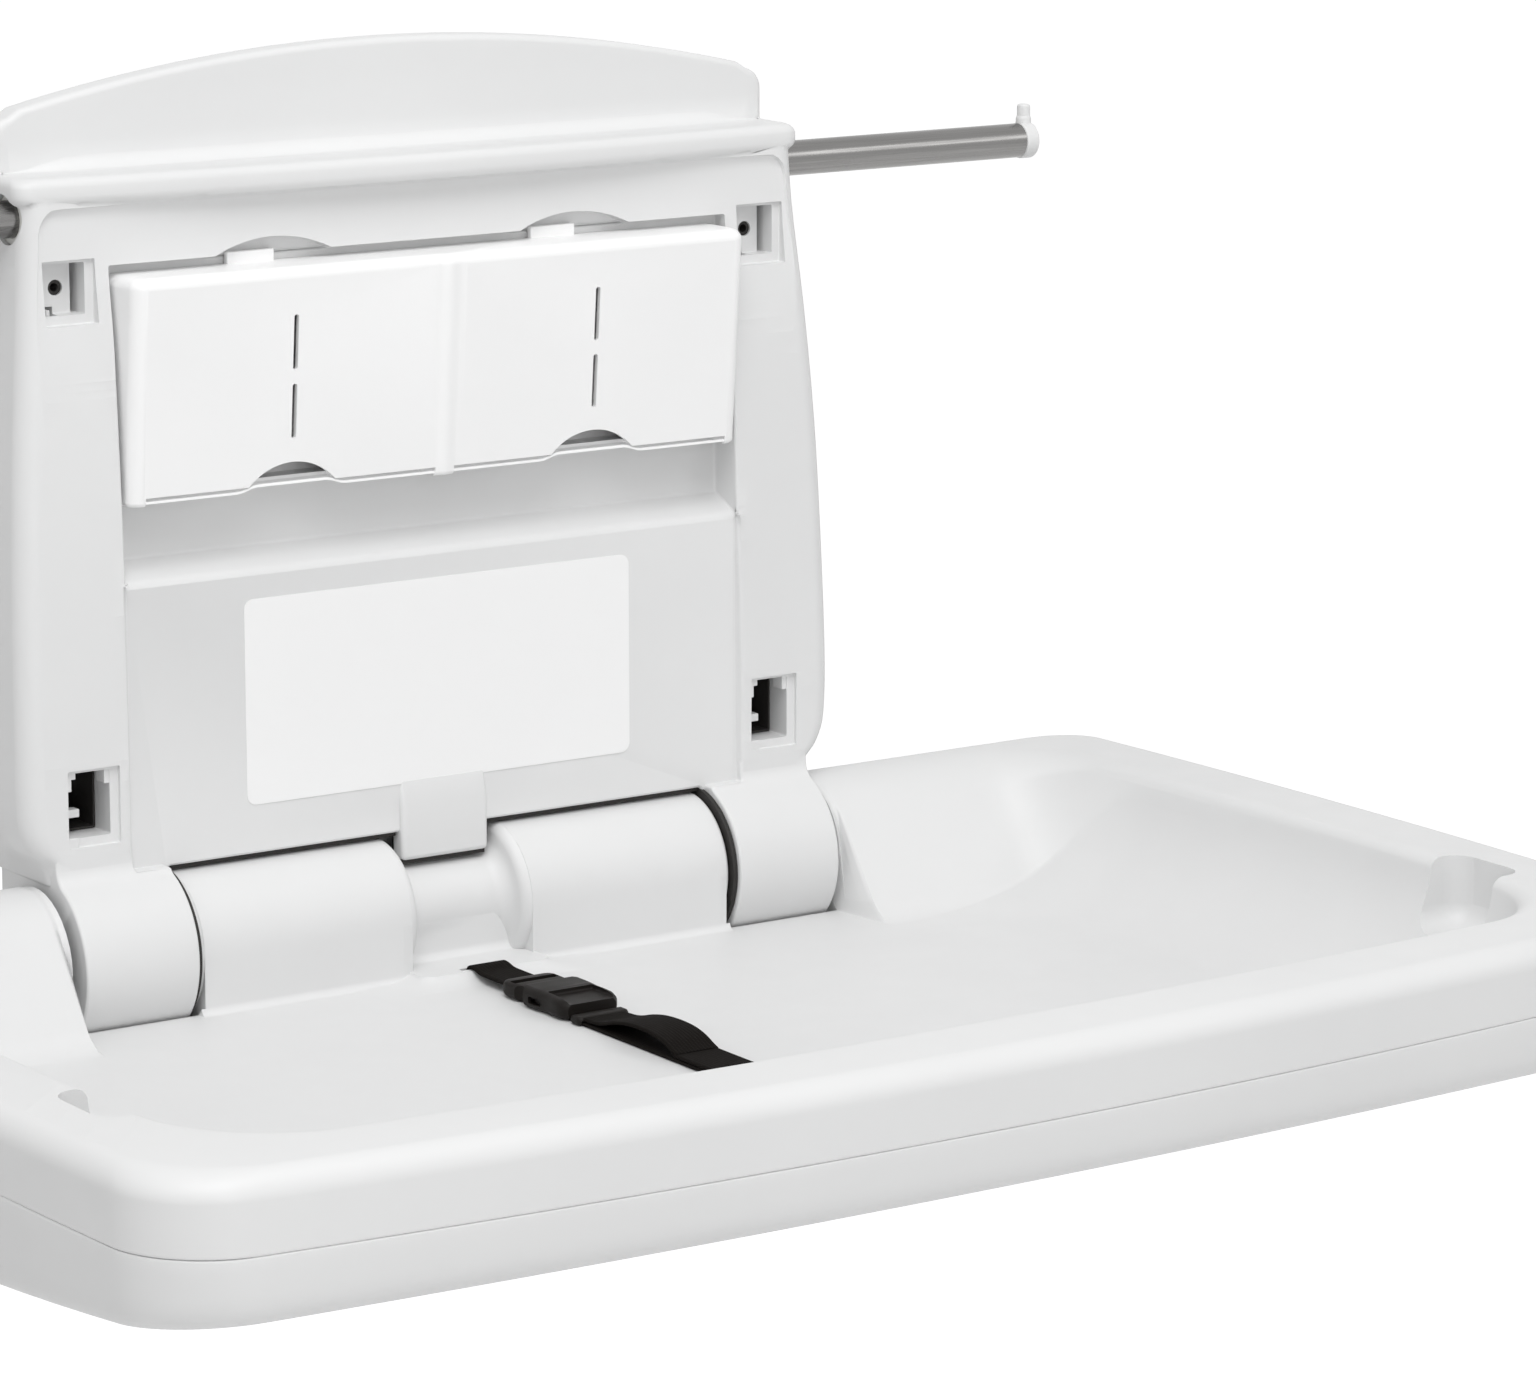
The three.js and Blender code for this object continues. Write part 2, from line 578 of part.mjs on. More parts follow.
// Hinge pins through the knuckles, bushes in the tray cheeks
for (const s of [-1, 1]) {
  const along = (r, a, b) => rodX(r, ...span(s * a, s * b), HINGE_Y, HINGE_Z);
  const clipAt = SLOT_IN - CHEEK_T - 5;
  const headAt = SLOT_OUT + CHEEK_T + 1.5;
  const pin = along(PIN_R, clipAt - 3, headAt + 1).add(along(BUSH_R, headAt, headAt + 3));
  piece(wallUnit, `hinge_pin_${sideName(s)}`, pin, steel);
  const clip = along(BUSH_R, clipAt, clipAt + 2).subtract(along(PIN_R + GAP, 0, BED_HALF));
  piece(wallUnit, `hinge_clip_${sideName(s)}`, clip, steel);
  const inner = along(BUSH_R, SLOT_IN - CHEEK_T - 0.5, SLOT_IN + 1.6).subtract(along(PIN_R + GAP, 0, BED_HALF));
  piece(bed, `hinge_bush_inner_${sideName(s)}`, inner, nylon);
  const outer = along(BUSH_R, SLOT_OUT - 2.5, SLOT_OUT + CHEEK_T + 0.5).subtract(along(PIN_R + GAP, 0, BED_HALF));
  piece(bed, `hinge_bush_outer_${sideName(s)}`, outer, nylon);
}

// Wall frame: plan sections stacked up the pillars
function planSection(half, deep, edge, h, bow = 0) {
  const right = [[half, -FRAME_BACK]];
  for (let k = 0; k <= 3; k += 1) {
    const a = k * 30 * deg;
    right.push([half + edge * (Math.cos(a) - 1), bow - deep + edge * (1 - Math.sin(a))]);
  }
  for (const t of bow ? [0.75, 0.5, 0.25] : []) {
    right.push([(half - edge) * t, bow * t * t - deep]);
  }
  const left = right.toReversed().map(([x, y]) => [-x, y]);
  return [...right, [0, -deep], ...left].map(([x, y]) => [x, y, up(h)]);
}

const pillars = solid(loft(PILLAR.map(([h, deep, half]) => planSection(half, deep, PILLAR_EDGE, h))));
const hollow = solid(loft(PILLAR.map(([h, deep, half], j) => {
  const last = j === PILLAR.length - 1;
  const at = j === 0 ? h + 6 : last ? LEDGE_TOP - 5 : h;
  const section = planSection(half - WALL, deep - WALL, PILLAR_EDGE - WALL, at);
  return section.map(([x, y, z]) => [x, y === -FRAME_BACK ? 1 : y, z]);
})));

// Ledge with a bowed nose, arch above it
const ledge = solid(loft(LEDGE.map(([h, inward]) =>
  planSection(LEDGE_HALF - inward, LEDGE_Y - inward, LEDGE_CORNER, h, LEDGE_BOW))));
const archR = (ARCH_HALF ** 2 + (ARCH_TOP - ARCH_END) ** 2) / (2 * (ARCH_TOP - ARCH_END));

function archOutline(t) {
  const right = [[ARCH_HALF - t, LEDGE_TOP - 8 + t]];
  for (let k = 0; k <= 4; k += 1) {
    const a = k * 20 * deg;
    right.push([ARCH_HALF - t + ARCH_CORNER * (Math.cos(a) - 1), ARCH_END - t + ARCH_CORNER * (Math.sin(a) - 1)]);
  }
  for (const x of [190, 160, 130, 100, 70, 35]) {
    right.push([x, ARCH_TOP - t - archR + Math.sqrt(archR ** 2 - x * x)]);
  }
  const left = right.toReversed().map(([x, h]) => [-x, h]);
  return [...right, [0, ARCH_TOP - t], ...left];
}

const arch = facePrism(archOutline(0), ARCH_Y - 2, FRAME_BACK).add(facePrism(archOutline(2), ARCH_Y, FRAME_BACK));
const archHollow = facePrism(archOutline(5), ARCH_Y - 4, -1);

// Knuckles with a web back to the wall, cored from behind round the pin
const knuckles = mirror((s) => {
  const x = span(s * KNUCKLE_IN, s * KNUCKLE_OUT);
  const web = wallBox(x, -HINGE_Y, FRAME_BACK, -KNUCKLE_R + 8, 60);
  return rodX(KNUCKLE_R, ...x, HINGE_Y, HINGE_Z, 40).add(web);
});
const cores = mirror((s) => {
  const x = span(s * (KNUCKLE_IN + 5), s * (KNUCKLE_OUT - 5));
  const core = rodX(KNUCKLE_R - 5, ...x, HINGE_Y, HINGE_Z, 20).add(wallBox(x, -HINGE_Y, -1, -30, 30));
  return core.subtract(rodX(PIN_R + 6, ...x, HINGE_Y, HINGE_Z));
});
const tongue = wallPrism([[PANEL_Y - 2, 68], [TONGUE_Y, 54], [TONGUE_Y, TONGUE_FOOT], [50, TONGUE_FOOT], [50, 68]],
  [-TONGUE_HALF, TONGUE_HALF]);

// Bays: the lower panel, and the deeper recess behind the liner dispenser
const lowerBay = prismZ([[-BAY_HALF - 6, -80], [BAY_HALF + 6, -80], [BAY_HALF, -PANEL_Y], [-BAY_HALF, -PANEL_Y]],
  up(PANEL_FOOT - 10), up(SHELF_FRONT));
const upperBay = wallPrism([[80, SHELF_FRONT - 1], [PANEL_Y, SHELF_FRONT - 1], [RECESS_Y, SHELF_BACK],
  [RECESS_Y, HEADER_FOOT], [80, HEADER_FOOT]], [-BAY_HALF, BAY_HALF]);
const arcRadius = (half, rise) => (half * half + rise * rise) / (2 * rise);
const latchR = arcRadius(LATCH_HALF, LATCH_RISE);
const latchCuts = mirror((s) =>
  rodY(latchR, -80, -RECESS_Y, s * MOON_X, up(HEADER_FOOT + LATCH_RISE - latchR), 56));
const footCut = wallBox([-KNUCKLE_IN + 2, KNUCKLE_IN - 2], 80, -10, 0, PANEL_FOOT);

// Screw pockets: wells with a back wall and a sleeve to the wall plate
const pockets = mirror((s) => [
  { s, h: UPPER_POCKET, deep: UPPER_BACK },
  { s, h: LOWER_POCKET, deep: LOWER_BACK },
]).flat();
const pocketX = (POCKET_IN + POCKET_OUT) / 2;
const pocketZ = ({ h }) => up((h[0] + h[1]) / 2);
const pocketBlock = ({ s, h, deep }) => wallBox(span(s * (POCKET_IN - 3), s * (POCKET_OUT + 3)),
  56, deep - 4, h[0] - 3, h[1] + 3);
const pocketWell = ({ s, h, deep }) => wallBox(span(s * POCKET_IN, s * POCKET_OUT), 80, deep, h[0], h[1]);
const sleeves = pockets.map((p) => rodY(SCREW_HOLE_R + 4, -p.deep, -FRAME_BACK, p.s * pocketX, pocketZ(p)));
const screwHoles = pockets.map((p) => rodY(SCREW_HOLE_R, -80, 5, p.s * pocketX, pocketZ(p), 10));
const steps = mirror((s) => wallBox(span(s * POCKET_IN, s * (POCKET_IN + 8)),
  LOWER_BACK + 24, LOWER_BACK - 1, LOWER_POCKET[0] - 1, LOWER_POCKET[0] + 11));

// Chambers open to the back, with ribs and screw bosses left standing
const panelRoom = (x) => wallBox(x, PANEL_Y - WALL, -5, PANEL_FOOT + 4, SHELF_FRONT - 5);
const recessRoom = (x) => wallBox(x, RECESS_Y - WALL, -5, SHELF_BACK + 4, HEADER_FOOT - 2);
const chambers = join([
  hollow.subtract(wallBox([-BAY_HALF - 6, BAY_HALF + 6], 90, -20, 0, HEADER_FOOT + 4)),
  panelRoom([4 - BAY_HALF, -62]), panelRoom([-58, 58]), panelRoom([62, BAY_HALF - 4]),
  recessRoom([4 - BAY_HALF, -2]), recessRoom([2, BAY_HALF - 4]),
]);
const plateScrews = PLATE_SCREWS.flatMap(([x, h, deep]) => mirror((s) => ({ x: s * x, h, deep, side: sideName(s) })));
const bosses = plateScrews.map((p) => rodY(BOSS_R, -p.deep, -FRAME_BACK, p.x, up(p.h), 8));
const midRibs = mirror((s) => wallBox(span(s * (BAY_HALF + 2), s * 240), 56, FRAME_BACK, 199, 202));
const standing = join([...pockets.map(pocketBlock), ...sleeves, ...bosses, ...midRibs]);
const body = join([pillars, ledge, arch, ...knuckles])
  .subtract(join([lowerBay, upperBay, ...latchCuts, footCut])).add(tongue);
const rodBore = rodX(ROD_R + 3 + GAP, -260, 260, -ROD_Y, up(ROD_H), 32);
const pinBore = rodX(PIN_R + GAP, -240, 240, HINGE_Y, HINGE_Z);
const bossBores = plateScrews.map((p) => rodY(SCREW_R + GAP, -22, 5, p.x, up(p.h), 8));
const frame = body.subtract(chambers.subtract(standing))
  .subtract(join([archHollow, ...cores, ...pockets.map(pocketWell)])).add(join(steps))
  .subtract(join([...screwHoles, rodBore, pinBore, ...bossBores]));
piece(wallUnit, 'wall_frame', frame, platinum);

// Back plate and its countersunk screws
const plateHoles = [
  ...pockets.map((p) => rodY(SCREW_HOLE_R, -10, 10, p.s * pocketX, pocketZ(p), 10)),
  ...plateScrews.map((p) => rodY(HEAD_R + GAP, -10, 10, p.x, up(p.h), 8)),
];
const plate = wallBox([-PLATE_HALF, PLATE_HALF], PLATE_T, 0, PLATE_FOOT, PLATE_HEAD).subtract(join(plateHoles));
piece(wallUnit, 'wall_plate', plate, steel);
plateScrews.forEach((p, k) => {
  const screw = rodY(HEAD_R, -PLATE_T, -0.5, p.x, up(p.h), 8).add(rodY(SCREW_R, -18, -1, p.x, up(p.h), 8));
  piece(wallUnit, `plate_screw_${Math.floor(k / 2) + 1}_${p.side}`, screw, steel);
});

// Liner bins behind the cover
const BIN_OUT = COVER_HALF - 2 * RIB_R - 1;
for (const s of [-1, 1]) {
  const x = span(s * BIN_IN, s * BIN_OUT);
  const inner = span(s * (BIN_IN + BIN_T), s * (BIN_OUT - BIN_T));
  const front = COVER_FOOT_Y + 1.5;
  const outer = wallPrism([[RECESS_Y + GAP, BIN_FOOT], [front, BIN_FOOT], [front, BIN_FOOT + BIN_T],
    [58, BIN_FOOT + BIN_T], [64, COVER_TOP - 14], [RECESS_Y + GAP, COVER_TOP - 8]], x);
  const room = wallPrism([[RECESS_Y + BIN_T, BIN_FOOT + BIN_T], [90, BIN_FOOT + BIN_T], [90, COVER_TOP],
    [RECESS_Y + BIN_T, COVER_TOP]], inner);
  const pull = rodY(MOON_HALF, -90, -RECESS_Y - 8, s * MOON_X, up(BIN_FOOT - 8), 32);
  piece(wallUnit, `liner_bin_${sideName(s)}`, outer.subtract(room).subtract(pull), white);
}

// Dispenser cover: leaning front, two compartments, half-round ribs, windows and pull moons
const leanY = (h) => lerp(COVER_FOOT_Y, COVER_TOP_Y, (h - COVER_FOOT) / (COVER_TOP - 12 - COVER_FOOT));
const coverOutline = (t, foot) => [[COVER_BACK - (t > 0 ? 5 : 0), foot], [leanY(foot) - t, foot],
  [leanY(COVER_TOP - 12) - t, COVER_TOP - 12], [COVER_TOP_Y - 2 - t, COVER_TOP - 5 - t / 2],
  [COVER_TOP_Y - 7, COVER_TOP - 1 - t], [COVER_TOP_Y - 13, COVER_TOP - t],
  [COVER_BACK - (t > 0 ? 5 : 0), COVER_TOP - t]];
const moonR = arcRadius(MOON_HALF, MOON_RISE);
const leanAngle = Math.atan2(COVER_TOP_Y - COVER_FOOT_Y, COVER_TOP - 12 - COVER_FOOT);

function coverRib(x) {
  const length = COVER_TOP - 8 - RIB_FOOT;
  const g = new THREE.CylinderGeometry(RIB_R, RIB_R, length, 12).rotateX(Math.PI / 2 + leanAngle);
  const mid = RIB_FOOT + length / 2;
  const tip = new THREE.SphereGeometry(RIB_R, 12, 6);
  const rib = solid(g.translate(x, -leanY(mid) + RIB_R - RIB_PROUD, up(mid)));
  return rib.add(solid(tip.translate(x, -leanY(COVER_TOP - 8) + RIB_R - RIB_PROUD, up(COVER_TOP - 8))));
}

const coverShell = wallPrism(coverOutline(0, COVER_FOOT), [-COVER_HALF, COVER_HALF]);
const rooms = mirror((s) => wallPrism(coverOutline(COVER_T, COVER_FOOT - 5),
  span(s * DIVIDER / 2, s * (COVER_HALF - COVER_T))));
const windows = mirror((s) => WINDOWS.map(([h0, h1]) =>
  wallBox(span(s * MOON_X - WINDOW_W / 2, s * MOON_X + WINDOW_W / 2), 90, 62, h0, h1))).flat();
const moons = mirror((s) => rodY(moonR, -90, -60, s * MOON_X, up(COVER_FOOT + MOON_RISE - moonR), 48));
const latches = mirror((s) => wallBox(span(s * MOON_X - 22, s * MOON_X + 2),
  COVER_BACK + 3, COVER_BACK, COVER_TOP - 3, HEADER_FOOT + 2.5));
const coverRibs = [-COVER_HALF + RIB_R, 0, COVER_HALF - RIB_R].map(coverRib);
const cover = coverShell.add(join(coverRibs)).subtract(join([...rooms, ...windows, ...moons])).add(join(latches));
piece(wallUnit, 'dispenser_cover', cover, white);

// Bag rod, its bushes and the capped ends with a nib
const rodAt = [-ROD_Y, up(ROD_H)];
piece(wallUnit, 'bag_rod', rodX(ROD_R, -ROD_HALF, ROD_HALF, ...rodAt, 20)
  .subtract(rodX(ROD_R - 1.5, -ROD_HALF - 1, ROD_HALF + 1, ...rodAt, 20)), satin);
for (const s of [-1, 1]) {
  const bush = rodX(ROD_R + 3, ...span(s * (LEDGE_HALF - 20), s * (LEDGE_HALF - 5)), ...rodAt, 20)
    .subtract(rodX(ROD_R + GAP, -300, 300, ...rodAt, 20));
  piece(wallUnit, `rod_bush_${sideName(s)}`, bush, nylon);
  const x0 = ROD_HALF + GAP;
  const disc = rodX(ROD_R + 0.6, ...span(s * x0, s * (x0 + CAP_T)), ...rodAt, 20);
  const plug = rodX(ROD_R - 1.5 - GAP, ...span(s * (x0 - 14), s * (x0 + 1)), ...rodAt, 20);
  const nibX = s * (x0 + NIB_R);
  const nib = rodZ(NIB_R, up(ROD_H), up(ROD_H + ROD_R + NIB_RISE), nibX, -ROD_Y, 20)
    .subtract(rodX(ROD_R + GAP, ...span(0, s * (x0)), ...rodAt, 20));
  piece(wallUnit, `rod_cap_${sideName(s)}`, join([disc, plug, nib]), white);
}

// Strap, buckle and adjuster along the middle of the bed
const strapLow = FLOOR + GAP;
const strapHigh = strapLow + STRAP_T;
const half = (w) => [-w / 2, w / 2];
const nearEnd = BUCKLE_REAR - TONGUE_LEN;
const farEnd = BUCKLE_REAR - BUCKLE_LEN;
const slotTop = PLATFORM_TOP + GAP;
const rearStrap = bedPrism([[STRAP_SLOT_D + STRAP_T / 2, -40], [STRAP_SLOT_D + STRAP_T / 2, slotTop + STRAP_T],
  [-54, slotTop + STRAP_T], [-68, strapLow + 5.4], [BUCKLE_REAR - 9, strapLow + 5.4],
  [BUCKLE_REAR - 9, strapLow + 3.6], [-68, strapLow + 3.6], [-54, slotTop],
  [STRAP_SLOT_D - STRAP_T / 2, slotTop], [STRAP_SLOT_D - STRAP_T / 2, -40]], half(STRAP_W));
piece(bed, 'strap_rear', rearStrap, webbing);
const keeper = bedBox(half(44), STRAP_SLOT_D - 9, STRAP_SLOT_D + 6, FLOOR - WALL - GAP - 3, FLOOR - WALL - GAP)
  .subtract(bedBox(half(STRAP_W + 1), STRAP_SLOT_D - 1.4, STRAP_SLOT_D + 1.4, -60, 0));
piece(bed, 'strap_keeper', keeper, steel);

// Buckle tongue with two sprung prongs and a guide
const tongueBody = bedBox(half(BUCKLE_W - 4), nearEnd, BUCKLE_REAR, strapLow, strapLow + BUCKLE_H - 2)
  .subtract(bedBox(half(STRAP_W + 1), BUCKLE_REAR - 10, BUCKLE_REAR + 1, strapLow + 3.2, strapLow + 5.8));
const prongZ = [strapLow + 3, strapLow + BUCKLE_H - 4];
const prongs = [-11, 0, 11].map((x) => bedBox([x - 2, x + 2], nearEnd - PRONG, nearEnd + 1, ...prongZ));
const barbs = mirror((s) => bedBox(span(s * 12, s * 14.5), nearEnd - PRONG, nearEnd - PRONG + 7, ...prongZ));
piece(bed, 'buckle_tongue', join([tongueBody, ...prongs, ...barbs]), acetal);

// Buckle socket, strap and adjuster that draw away together
const socketRoom = bedBox(half(BUCKLE_W - 4), nearEnd - PRONG - 2, nearEnd + 1, prongZ[0] - GAP, prongZ[1] + GAP);
const strapMouth = bedBox(half(STRAP_W + 1), farEnd - 1, farEnd + 10, strapLow - 1, strapHigh + GAP);
const sideWindows = bedBox(half(BUCKLE_W + 4), nearEnd - PRONG - 1.5, nearEnd - PRONG + 9, ...prongZ);
const socket = bedBox(half(BUCKLE_W), farEnd, nearEnd - GAP, strapLow, strapLow + BUCKLE_H)
  .subtract(join([socketRoom, strapMouth, sideWindows]));
piece(strapHalf, 'buckle_socket', socket, acetal);
const loop = [[-176, strapHigh], [-183, -22.4], [-193, -20], [-204, -19.5], [-215, -20.2], [-228, -22.8],
  [-241, strapHigh]];
const shape = new THREE.Shape([[farEnd + 9.5, strapLow], [farEnd + 9.5, strapHigh], ...loop,
  [-STRAP_END, strapHigh], [-STRAP_END, strapLow]].map(([d, h]) => new THREE.Vector2(fore(d), up(h))));
const eye = [[-181, strapHigh], [-186, -23.6], [-194, -21.8], [-204, -21.3], [-214, -22], [-225, -24.2], [-234, strapHigh]];
shape.holes.push(new THREE.Path(eye.map(([d, h]) => new THREE.Vector2(fore(d), up(h) + 0.05))));
const strapGeometry = new THREE.ExtrudeGeometry(shape, { depth: STRAP_W, bevelEnabled: false });
const lay = new THREE.Matrix4().set(0, 0, 1, -STRAP_W / 2, 1, 0, 0, 0, 0, 1, 0, 0, 0, 0, 0, 1);
piece(strapHalf, 'strap_front', solid(strapGeometry.applyMatrix4(lay)), webbing);
const glide = bedBox(half(STRAP_W + 8), ADJUSTER - 12, ADJUSTER, strapLow, strapHigh + 4)
  .subtract(bedBox(half(STRAP_W + 1), ADJUSTER - 20, ADJUSTER + 20, strapLow - 1, strapHigh + GAP));
piece(strapHalf, 'strap_adjuster', glide, acetal);

export default station;
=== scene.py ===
import json
import logging
import math
from collections.abc import Callable, Iterable, Sequence
from dataclasses import dataclass, field
from enum import Enum

import bpy
from mathutils import Euler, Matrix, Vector


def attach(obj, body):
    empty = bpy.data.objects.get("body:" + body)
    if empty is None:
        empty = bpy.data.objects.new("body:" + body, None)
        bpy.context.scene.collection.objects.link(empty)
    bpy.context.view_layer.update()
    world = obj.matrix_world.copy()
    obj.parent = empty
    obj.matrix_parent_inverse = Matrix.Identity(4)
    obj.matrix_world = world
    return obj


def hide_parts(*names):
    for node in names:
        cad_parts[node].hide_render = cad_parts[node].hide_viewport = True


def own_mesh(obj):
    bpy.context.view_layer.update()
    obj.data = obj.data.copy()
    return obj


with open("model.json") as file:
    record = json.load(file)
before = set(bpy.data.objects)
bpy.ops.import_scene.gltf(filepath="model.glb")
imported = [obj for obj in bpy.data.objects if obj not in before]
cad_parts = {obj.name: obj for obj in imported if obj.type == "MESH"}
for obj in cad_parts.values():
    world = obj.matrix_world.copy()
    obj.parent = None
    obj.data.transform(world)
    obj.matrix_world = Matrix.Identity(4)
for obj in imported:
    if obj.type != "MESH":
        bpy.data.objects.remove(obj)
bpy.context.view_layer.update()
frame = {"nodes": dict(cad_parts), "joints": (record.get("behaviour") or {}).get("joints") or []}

LOG = logging.getLogger("changing_station")
MM = 0.001
GAP = 0.3

Point = tuple[float, float]
Ring = list[Vector]
Span = tuple[float, float]

# The hinge line in millimetres: sizes of the bed and the wall unit are counted from it.
HINGE_Y, HINGE_Z = (value / MM for value in frame["joints"][0]["pos_m"][1:])


class Side(Enum):
    """The two hands of the station, as seen from the room."""

    LEFT = -1
    RIGHT = 1

    def span(self, inner: float, outer: float) -> Span:
        """The x range between two distances from the middle plane on this side."""
        return tuple(sorted((self.value * inner, self.value * outer)))

    def node(self, stem: str) -> str:
        """The name of this side's copy of a repeated node."""
        return f"{stem}_{self.name.lower()}"


class Cut(Enum):
    """How one solid acts on another."""

    TAKE = "DIFFERENCE"
    JOIN = "UNION"
    KEEP = "INTERSECT"


def lerp(a: float, b: float, t: float) -> float:
    """The value a share t of the way from a to b."""
    return a + (b - a) * t


def bed_point(x: float, d: float, h: float) -> Vector:
    """A point given by its offsets from the hinge line, in metres in the row frame."""
    return Vector((x, HINGE_Y + d, HINGE_Z + h)) * MM


def wall_point(x: float, deep: float, h: float) -> Vector:
    """A point given by its depth in front of the wall and height over the hinge, in metres."""
    return Vector((x, -deep, HINGE_Z + h)) * MM


# Modelling steps shared by all pieces


def select_only(piece: bpy.types.Object) -> None:
    """Leaves one object selected and active, in object mode."""
    if bpy.context.object and bpy.context.object.mode != "OBJECT":
        bpy.ops.object.mode_set(mode="OBJECT")
    bpy.ops.object.select_all(action="DESELECT")
    piece.select_set(True)
    bpy.context.view_layer.objects.active = piece


def settle(piece: bpy.types.Object, name: str) -> bpy.types.Object:
    """Names a new primitive and moves its place and size into its mesh.

    Args:
        piece: The object an operator has just added.
        name: The name it gets.

    Returns:
        The same object, at the origin.
    """
    piece.name = piece.data.name = name
    select_only(piece)
    bpy.ops.object.transform_apply(location=True, rotation=True, scale=True)
    return piece


def block(name: str, low: Vector, high: Vector, soft: float = 0.0) -> bpy.types.Object:
    """A block between two corners, with its edges rolled over.

    Args:
        name: The object's name.
        low: One corner, in metres.
        high: The opposite corner, in metres.
        soft: Radius of the rolled edges in millimetres, or 0 for sharp ones.

    Returns:
        The new object.
    """
    bpy.ops.object.select_all(action="DESELECT")
    bpy.ops.mesh.primitive_cube_add(size=1, location=(low + high) / 2)
    piece = bpy.context.object
    piece.scale = [abs(b - a) for a, b in zip(low, high)]
    settle(piece, name)
    if soft:
        bpy.ops.object.mode_set(mode="EDIT")
        bpy.ops.mesh.select_all(action="SELECT")
        bpy.ops.mesh.bevel(offset=soft * MM, segments=5, affect="EDGES", clamp_overlap=True)
        bpy.ops.object.mode_set(mode="OBJECT")
    return piece


def bed_block(name: str, x: Span, d: Span, h: Span, soft: float = 0.0) -> bpy.types.Object:
    """A block given by its ranges from the hinge line."""
    return block(name, bed_point(x[0], min(d), min(h)), bed_point(x[1], max(d), max(h)), soft)


def wall_block(name: str, x: Span, deep: Span, h: Span, soft: float = 0.0) -> bpy.types.Object:
    """A block given by its ranges in front of the wall."""
    return block(name, wall_point(x[0], max(deep), min(h)), wall_point(x[1], min(deep), max(h)), soft)


def rod(name: str, radius: float, start: Vector, end: Vector, sides: int = 64, soft: float = 0.0) -> bpy.types.Object:
    """A round bar between two points, with its rims rolled over.

    Args:
        name: The object's name.
        radius: Its radius in millimetres.
        start: The middle of one end, in metres.
        end: The middle of the other end, in metres.
        sides: Number of facets round it.
        soft: Radius of the rolled rims in millimetres.

    Returns:
        The new object.
    """
    bpy.ops.object.select_all(action="DESELECT")
    along = end - start
    turn = Vector((0, 0, 1)).rotation_difference(along).to_euler()
    bpy.ops.mesh.primitive_cylinder_add(
        vertices=sides, radius=radius * MM, depth=along.length, location=(start + end) / 2, rotation=turn
    )
    piece = settle(bpy.context.object, name)
    if soft:
        roll_rims(piece, soft)
    return piece


def roll_rims(piece: bpy.types.Object, soft: float, segments: int = 4) -> None:
    """Rounds the edges that bound a face of more than four corners.

    Args:
        piece: The object to change.
        soft: Radius in millimetres.
        segments: Steps of the rounding.
    """
    select_only(piece)
    bpy.ops.object.mode_set(mode="EDIT")
    bpy.ops.mesh.select_mode(type="EDGE")
    bpy.ops.mesh.select_all(action="DESELECT")
    bpy.ops.object.mode_set(mode="OBJECT")
    rims = {key for face in piece.data.polygons if len(face.vertices) > 4 for key in face.edge_keys}
    for edge in piece.data.edges:
        edge.select = edge.key in rims
    bpy.ops.object.mode_set(mode="EDIT")
    bpy.ops.mesh.bevel(offset=soft * MM, segments=segments, affect="EDGES", clamp_overlap=True)
    bpy.ops.object.mode_set(mode="OBJECT")


def skin(name: str, rings: Sequence[Ring]) -> bpy.types.Object:
    """A closed skin over rings of equally many points, with a flat face at each end.

    Args:
        name: The object's name.
        rings: The rings in order, in metres.

    Returns:
        The new object, its faces pointing outwards.
    """
    count = len(rings[0])
    faces = []
    for j in range(len(rings) - 1):
        for i in range(count):
            a, b = j * count + i, j * count + (i + 1) % count
            faces.append((a, b, b + count, a + count))
    faces.append(tuple(reversed(range(count))))
    faces.append(tuple(range((len(rings) - 1) * count, len(rings) * count)))
    mesh = bpy.data.meshes.new(name)
    mesh.from_pydata([tuple(p) for ring in rings for p in ring], [], faces)
    piece = bpy.data.objects.new(name, mesh)
    bpy.context.scene.collection.objects.link(piece)
    face_out(piece)
    return piece


def face_out(piece: bpy.types.Object) -> None:
    """Turns every face of a closed mesh outwards."""
    select_only(piece)
    bpy.ops.object.mode_set(mode="EDIT")
    bpy.ops.mesh.select_all(action="SELECT")
    bpy.ops.mesh.remove_doubles(threshold=1e-6)
    bpy.ops.mesh.normals_make_consistent(inside=False)
    bpy.ops.object.mode_set(mode="OBJECT")


def prism(name: str, outline: Sequence[Vector], along: Vector) -> bpy.types.Object:
    """A flat outline drawn out in one direction."""
    return skin(name, [list(outline), [p + along for p in outline]])


def apply(piece: bpy.types.Object, modifier: bpy.types.Modifier) -> None:
    """Applies a modifier to its object."""
    select_only(piece)
    bpy.ops.object.modifier_apply(modifier=modifier.name)


def combine(piece: bpy.types.Object, tools: Iterable[bpy.types.Object], how: Cut) -> bpy.types.Object:
    """Joins, cuts or trims a solid with others and removes them.

    Args:
        piece: The solid that is changed.
        tools: The solids that act on it, one after the other.
        how: The action.

    Returns:
        The changed solid.
    """
    for tool in tools:
        modifier = piece.modifiers.new("solid", "BOOLEAN")
        modifier.operation = how.value
        modifier.solver = "EXACT"
        modifier.object = tool
        apply(piece, modifier)
        bpy.data.objects.remove(tool)
    return piece


